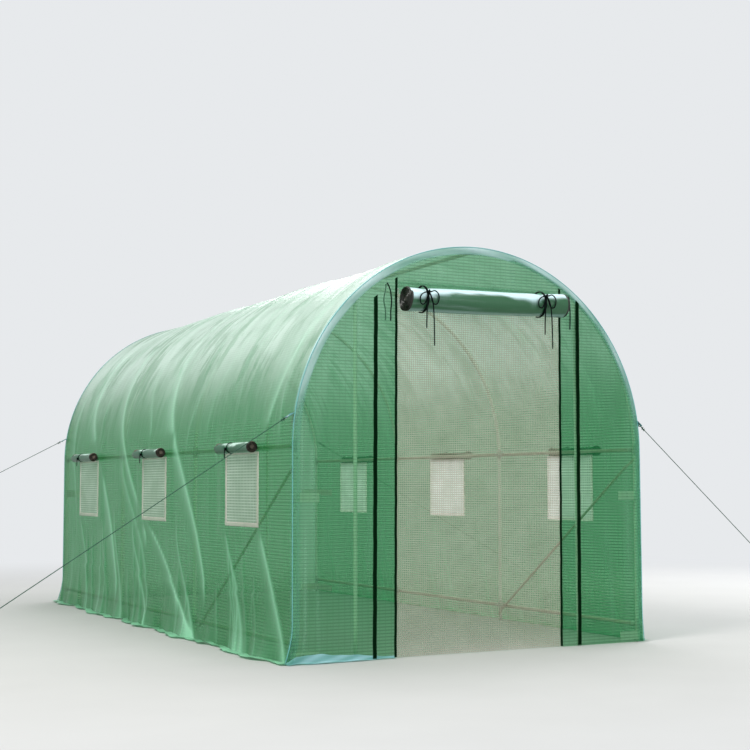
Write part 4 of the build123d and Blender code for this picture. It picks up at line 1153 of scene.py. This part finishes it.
def peg(foot, side):
    """A rod that leans away from the tunnel, with a hooked head over the rope."""
    ground = np.array((foot[0] - side * (ROPE_FOOT_Z * math.tan(PEG_LEAN) - PEG_R - 0.0004), foot[1], 0.0))
    stem = np.array((side * math.sin(PEG_LEAN), 0, math.cos(PEG_LEAN)))
    over = np.array((side * math.cos(PEG_LEAN), 0, -math.sin(PEG_LEAN)))
    line = [ground + stem * s for s in np.linspace(0.0015, PEG_LENGTH, 8)]
    bend = ground + stem * PEG_LENGTH + over * PEG_HOOK_R
    line += [bend + a * over + b * stem for a, b in arc(PEG_HOOK_R, math.pi, 0, 17)[1:]]
    radius = np.full(len(line), PEG_R)
    radius[-1] *= 0.8
    return sweep(line, radius, 14, first_axis=(0, 1, 0))


def build_tabs_and_pegs():
    tabs, pegs, eyelets = [], [], []
    ring = [(EYELET_R - 0.0005, -EYELET_HALF), (EYELET_R + 0.0022, -EYELET_HALF), (EYELET_R + 0.0026, 0.0),
            (EYELET_R + 0.0022, EYELET_HALF), (EYELET_R - 0.0005, EYELET_HALF)]
    for side_name, side in SIDES:
        for end_name in ("front", "back"):
            head, foot = rope_ends(f"{end_name}_{side_name}")
            way = unit(foot - head)
            start = head - way * (TAB_LENGTH + 0.0004)
            normal = unit(np.cross(way, (0, 1, 0)))
            hole = start + way * (TAB_LENGTH - EYELET_IN)
            tabs.append(tab(start, hole, way, np.cross(normal, way), normal))
            loop = [head - way * (EYELET_IN + 0.001) + normal * 0.004, head - way * 0.004 + normal * 0.003,
                    head + way * 0.012]
            eyelets += [lathe(ring, hole, normal, 24), sweep(loop, 0.0018, 8)]
            pegs.append(peg(foot, side))
    add_shapes("guy_tab_webbing", tabs, tab_webbing, "webbing", ("guy_tabs",), smooth=False)
    add_shapes("guy_tab_eyelets", eyelets, peg_steel, "webbing")
    add_shapes("ground_peg_rods", pegs, peg_steel, "peg", ("ground_pegs",))


# Leg straps: their heights, sizes and free ends
STRAP_Z, STRAP_HALF, STRAP_THICK_HALF, STRAP_SAG = (0.036, 0.762), 0.022, 0.0009, 0.003
SHORT_TAIL, LONG_TAIL = 0.120, 0.250


def strap(leg, tail_way, face, tail):
    """A strap most of the way round a leg, with a free end that runs along that face."""
    tail_way, face = np.array(tail_way, float), np.array(face, float)
    r = tube_r + 0.0016
    line = [r * (-math.cos(a) * tail_way + math.sin(a) * face) for a in np.radians(np.linspace(-160, 90, 27))]
    line += [tail_way * s + face * (r + 0.0004 * math.sin(60 * s)) for s in np.linspace(0.006, tail, 14)]
    tangent = unit(np.gradient(line, axis=0))
    out = STRAP_THICK_HALF * np.stack([tangent[:, 1], -tangent[:, 0]], 1)
    sag = STRAP_SAG * np.linspace(0, 1, len(line)) ** 2
    ring = [np.column_stack([line + out * offset, rise * STRAP_HALF - sag]) + leg
            for offset, rise in ((1, -1), (1, 1), (-1, 1), (-1, -1))]
    last = len(line) * 4 - 4
    ends = [[3, 2, 1, 0], [last, last + 1, last + 2, last + 3]]
    return np.stack(ring, 1), grid_faces(len(line), 4, closed=True) + ends


def build_straps():
    """Two straps round each corner leg. At the back a longer free end lies along the side wall."""
    straps = []
    for z in STRAP_Z:
        for _, side in SIDES:
            for end in (-1, 1):
                leg = np.array((side * arch_r, end * (half_length - 0.018), z))
                straps.append(strap(leg, (-side, 0), (0, end), SHORT_TAIL))
                if end > 0:
                    straps.append(strap(leg, (0, -1), (side, 0), LONG_TAIL))
    add_shapes("leg_strap_felt", straps, strap_felt, "strap", ("leg_straps",), smooth=False)


# The skirt's rows: up the panel (off it, and the share of its height), then out on the ground (reach, height)
SKIRT_UP = ((0.0001, 1.0), (0.0003, 0.75), (0.0003, 0.5), (0.0005, 0.25), (0.0006, 0.10))
SKIRT_OUT = ((0.008, 0.0024), (0.016, 0.0030), (0.026, 0.0018), (0.036, 0.0026))


def build_skirt():
    """The pale skirt that turns out on the ground along the front left panel."""
    xs = spread((-half_width - 0.03, zip_x["inner_left_zip"] - 0.01), 0.012)
    share = (xs - xs[0]) / (xs[-1] - xs[0])
    ripple = waves(xs * 1.7, 21)
    top = (0.046 - 0.034 * share) * (0.25 + 0.75 * smooth_step(share / 0.10)) * (1 + 0.22 * ripple)
    rows = [(0 * xs - half_length - lift - 0.0002, top * up + 0.001) for lift, up in SKIRT_UP]
    for reach, z in SKIRT_OUT:
        out = reach * (0.8 + 0.40 * ripple) * (1 - 0.6 * share)
        rise = 0.004 * np.abs(ripple) * (reach > 0.01) * (1 - 0.5 * share)
        rows.append((-half_length - 0.004 - out, z + rise))
    points = np.stack([np.stack([xs, y, z], 1) for y, z in rows])
    steps = np.linalg.norm(np.diff(points, axis=0), axis=2).mean(1)
    down, along = grid(np.concatenate([[0], np.cumsum(steps)]), xs)
    row = np.linspace(0, 1, len(rows))[:, None]
    # A pale share that rises and falls with the ripples: painted highlight on them
    fold = 0.42 + 0.30 * ripple * (0.4 + 0.6 * row) + 0.25 * np.sin(9 * row + 26 * share)
    piece = add_grid("front_skirt", points, along, down, skirt_film, "cover_sheet",
                     fold=np.clip(fold, 0.05, 0.95))


# Stage, lights and camera
BACKDROP, AMBIENT = (0.80, 0.82, 0.84), (0.58, 0.60, 0.62)
FLOOR_RADIUS, FLOOR_DROP, FLOOR_SHADES = 60, 0.001, ((0.48, 0.48, 0.47), (0.52, 0.52, 0.51))
FADE_FROM, FADE_TO = 2.6, 7.5
LAMP_AIM = (0, 0, 0.8)
# Each lamp's name, place, size, power and colour
LAMPS = (
    ("key", (-5.5, -3.5, 6.5), 3.0, 500, (1.0, 0.98, 0.94)),
    ("top", (1.5, 1.0, 7.5), 5.0, 240, (1.0, 1.0, 1.0)),
    ("front", (1.0, -9.0, 3.0), 4.0, 190, (0.94, 0.97, 1.0)),
    ("right", (7.0, 0.5, 2.6), 4.0, 260, (1.0, 1.0, 1.0)),
    ("back", (4.0, 7.0, 4.0), 4.0, 170, (1.0, 1.0, 1.0)),
)
# The photograph's view: place, turn and lens from a fit to the arches, legs and rails
CAMERA_PLACE, CAMERA_LENS, CAMERA_SENSOR = (-3.6148, -7.8539, 0.8202), 66.52, 36.0
CAMERA_YAW, CAMERA_PITCH, CAMERA_ROLL = 0.47948, 0.078824, -0.002535


def build_stage():
    """A pale floor that fades into the backdrop with distance."""
    bpy.ops.mesh.primitive_circle_add(vertices=96, radius=FLOOR_RADIUS, fill_type="NGON",
                                      location=(0, 0, -FLOOR_DROP))
    floor = bpy.context.object
    floor.name = "floor"
    s = Shade(bpy.data.materials.new("floor"))
    far = s.add("VectorMath", {"operation": "LENGTH"}, s0=s.place()).outputs["Value"]
    fade = s.span(far, FADE_FROM, FADE_TO)
    colour = s.mix(s.noise((2.0, 2.0, 2.0), source=s.place()), *FLOOR_SHADES)
    glow = s.add("Emission", Color=BACKDROP)
    floor.data.materials.append(s.end(s.blend(s.times(fade, s.in_view()), s.surface(colour, 0.9, 0.1), glow)))


def light_scene():
    world = Shade(bpy.data.worlds.new("studio"), "OutputWorld")
    ambient, seen = world.add("Background", Color=AMBIENT), world.add("Background", Color=BACKDROP)
    bpy.context.scene.world = world.end(world.blend(world.in_view(), ambient, seen))
    for name, place, size, power, colour in LAMPS:
        lamp = bpy.data.lights.new(name, "AREA")
        lamp.shape, lamp.size = "SQUARE", size
        lamp.energy, lamp.color = power, colour
        holder = bpy.data.objects.new(name, lamp)
        holder.location = place
        holder.rotation_mode = "QUATERNION"
        holder.rotation_quaternion = (Vector(LAMP_AIM) - Vector(place)).to_track_quat("-Z", "Y")
        bpy.context.scene.collection.objects.link(holder)


def place_camera():
    level = math.cos(CAMERA_PITCH)
    forward = Vector((math.sin(CAMERA_YAW) * level, math.cos(CAMERA_YAW) * level, math.sin(CAMERA_PITCH)))
    right = Vector((math.cos(CAMERA_YAW), -math.sin(CAMERA_YAW), 0))
    up = right.cross(forward)
    tilted_right = math.cos(CAMERA_ROLL) * right + math.sin(CAMERA_ROLL) * up
    tilted_up = -math.sin(CAMERA_ROLL) * right + math.cos(CAMERA_ROLL) * up
    camera = bpy.data.cameras.new("camera")
    camera.lens, camera.sensor_width = CAMERA_LENS, CAMERA_SENSOR
    camera.clip_start, camera.clip_end = 0.05, 200
    holder = bpy.data.objects.new("camera", camera)
    turn = Matrix((tilted_right, tilted_up, -forward)).transposed()
    holder.matrix_world = Matrix.Translation(CAMERA_PLACE) @ turn.to_4x4()
    bpy.context.scene.collection.objects.link(holder)
    bpy.context.scene.camera = holder


build_stage()
light_scene()
place_camera()
build_cover()
build_ends()
build_edge_bands()
build_frame()
build_fittings()
build_braces()
build_door_roll()
build_window_rolls()
build_nets()
build_zips()
build_ties()
build_tie_bands()
build_ropes()
build_tabs_and_pegs()
build_straps()
build_skirt()

bpy.context.scene.view_settings.view_transform = "Standard"
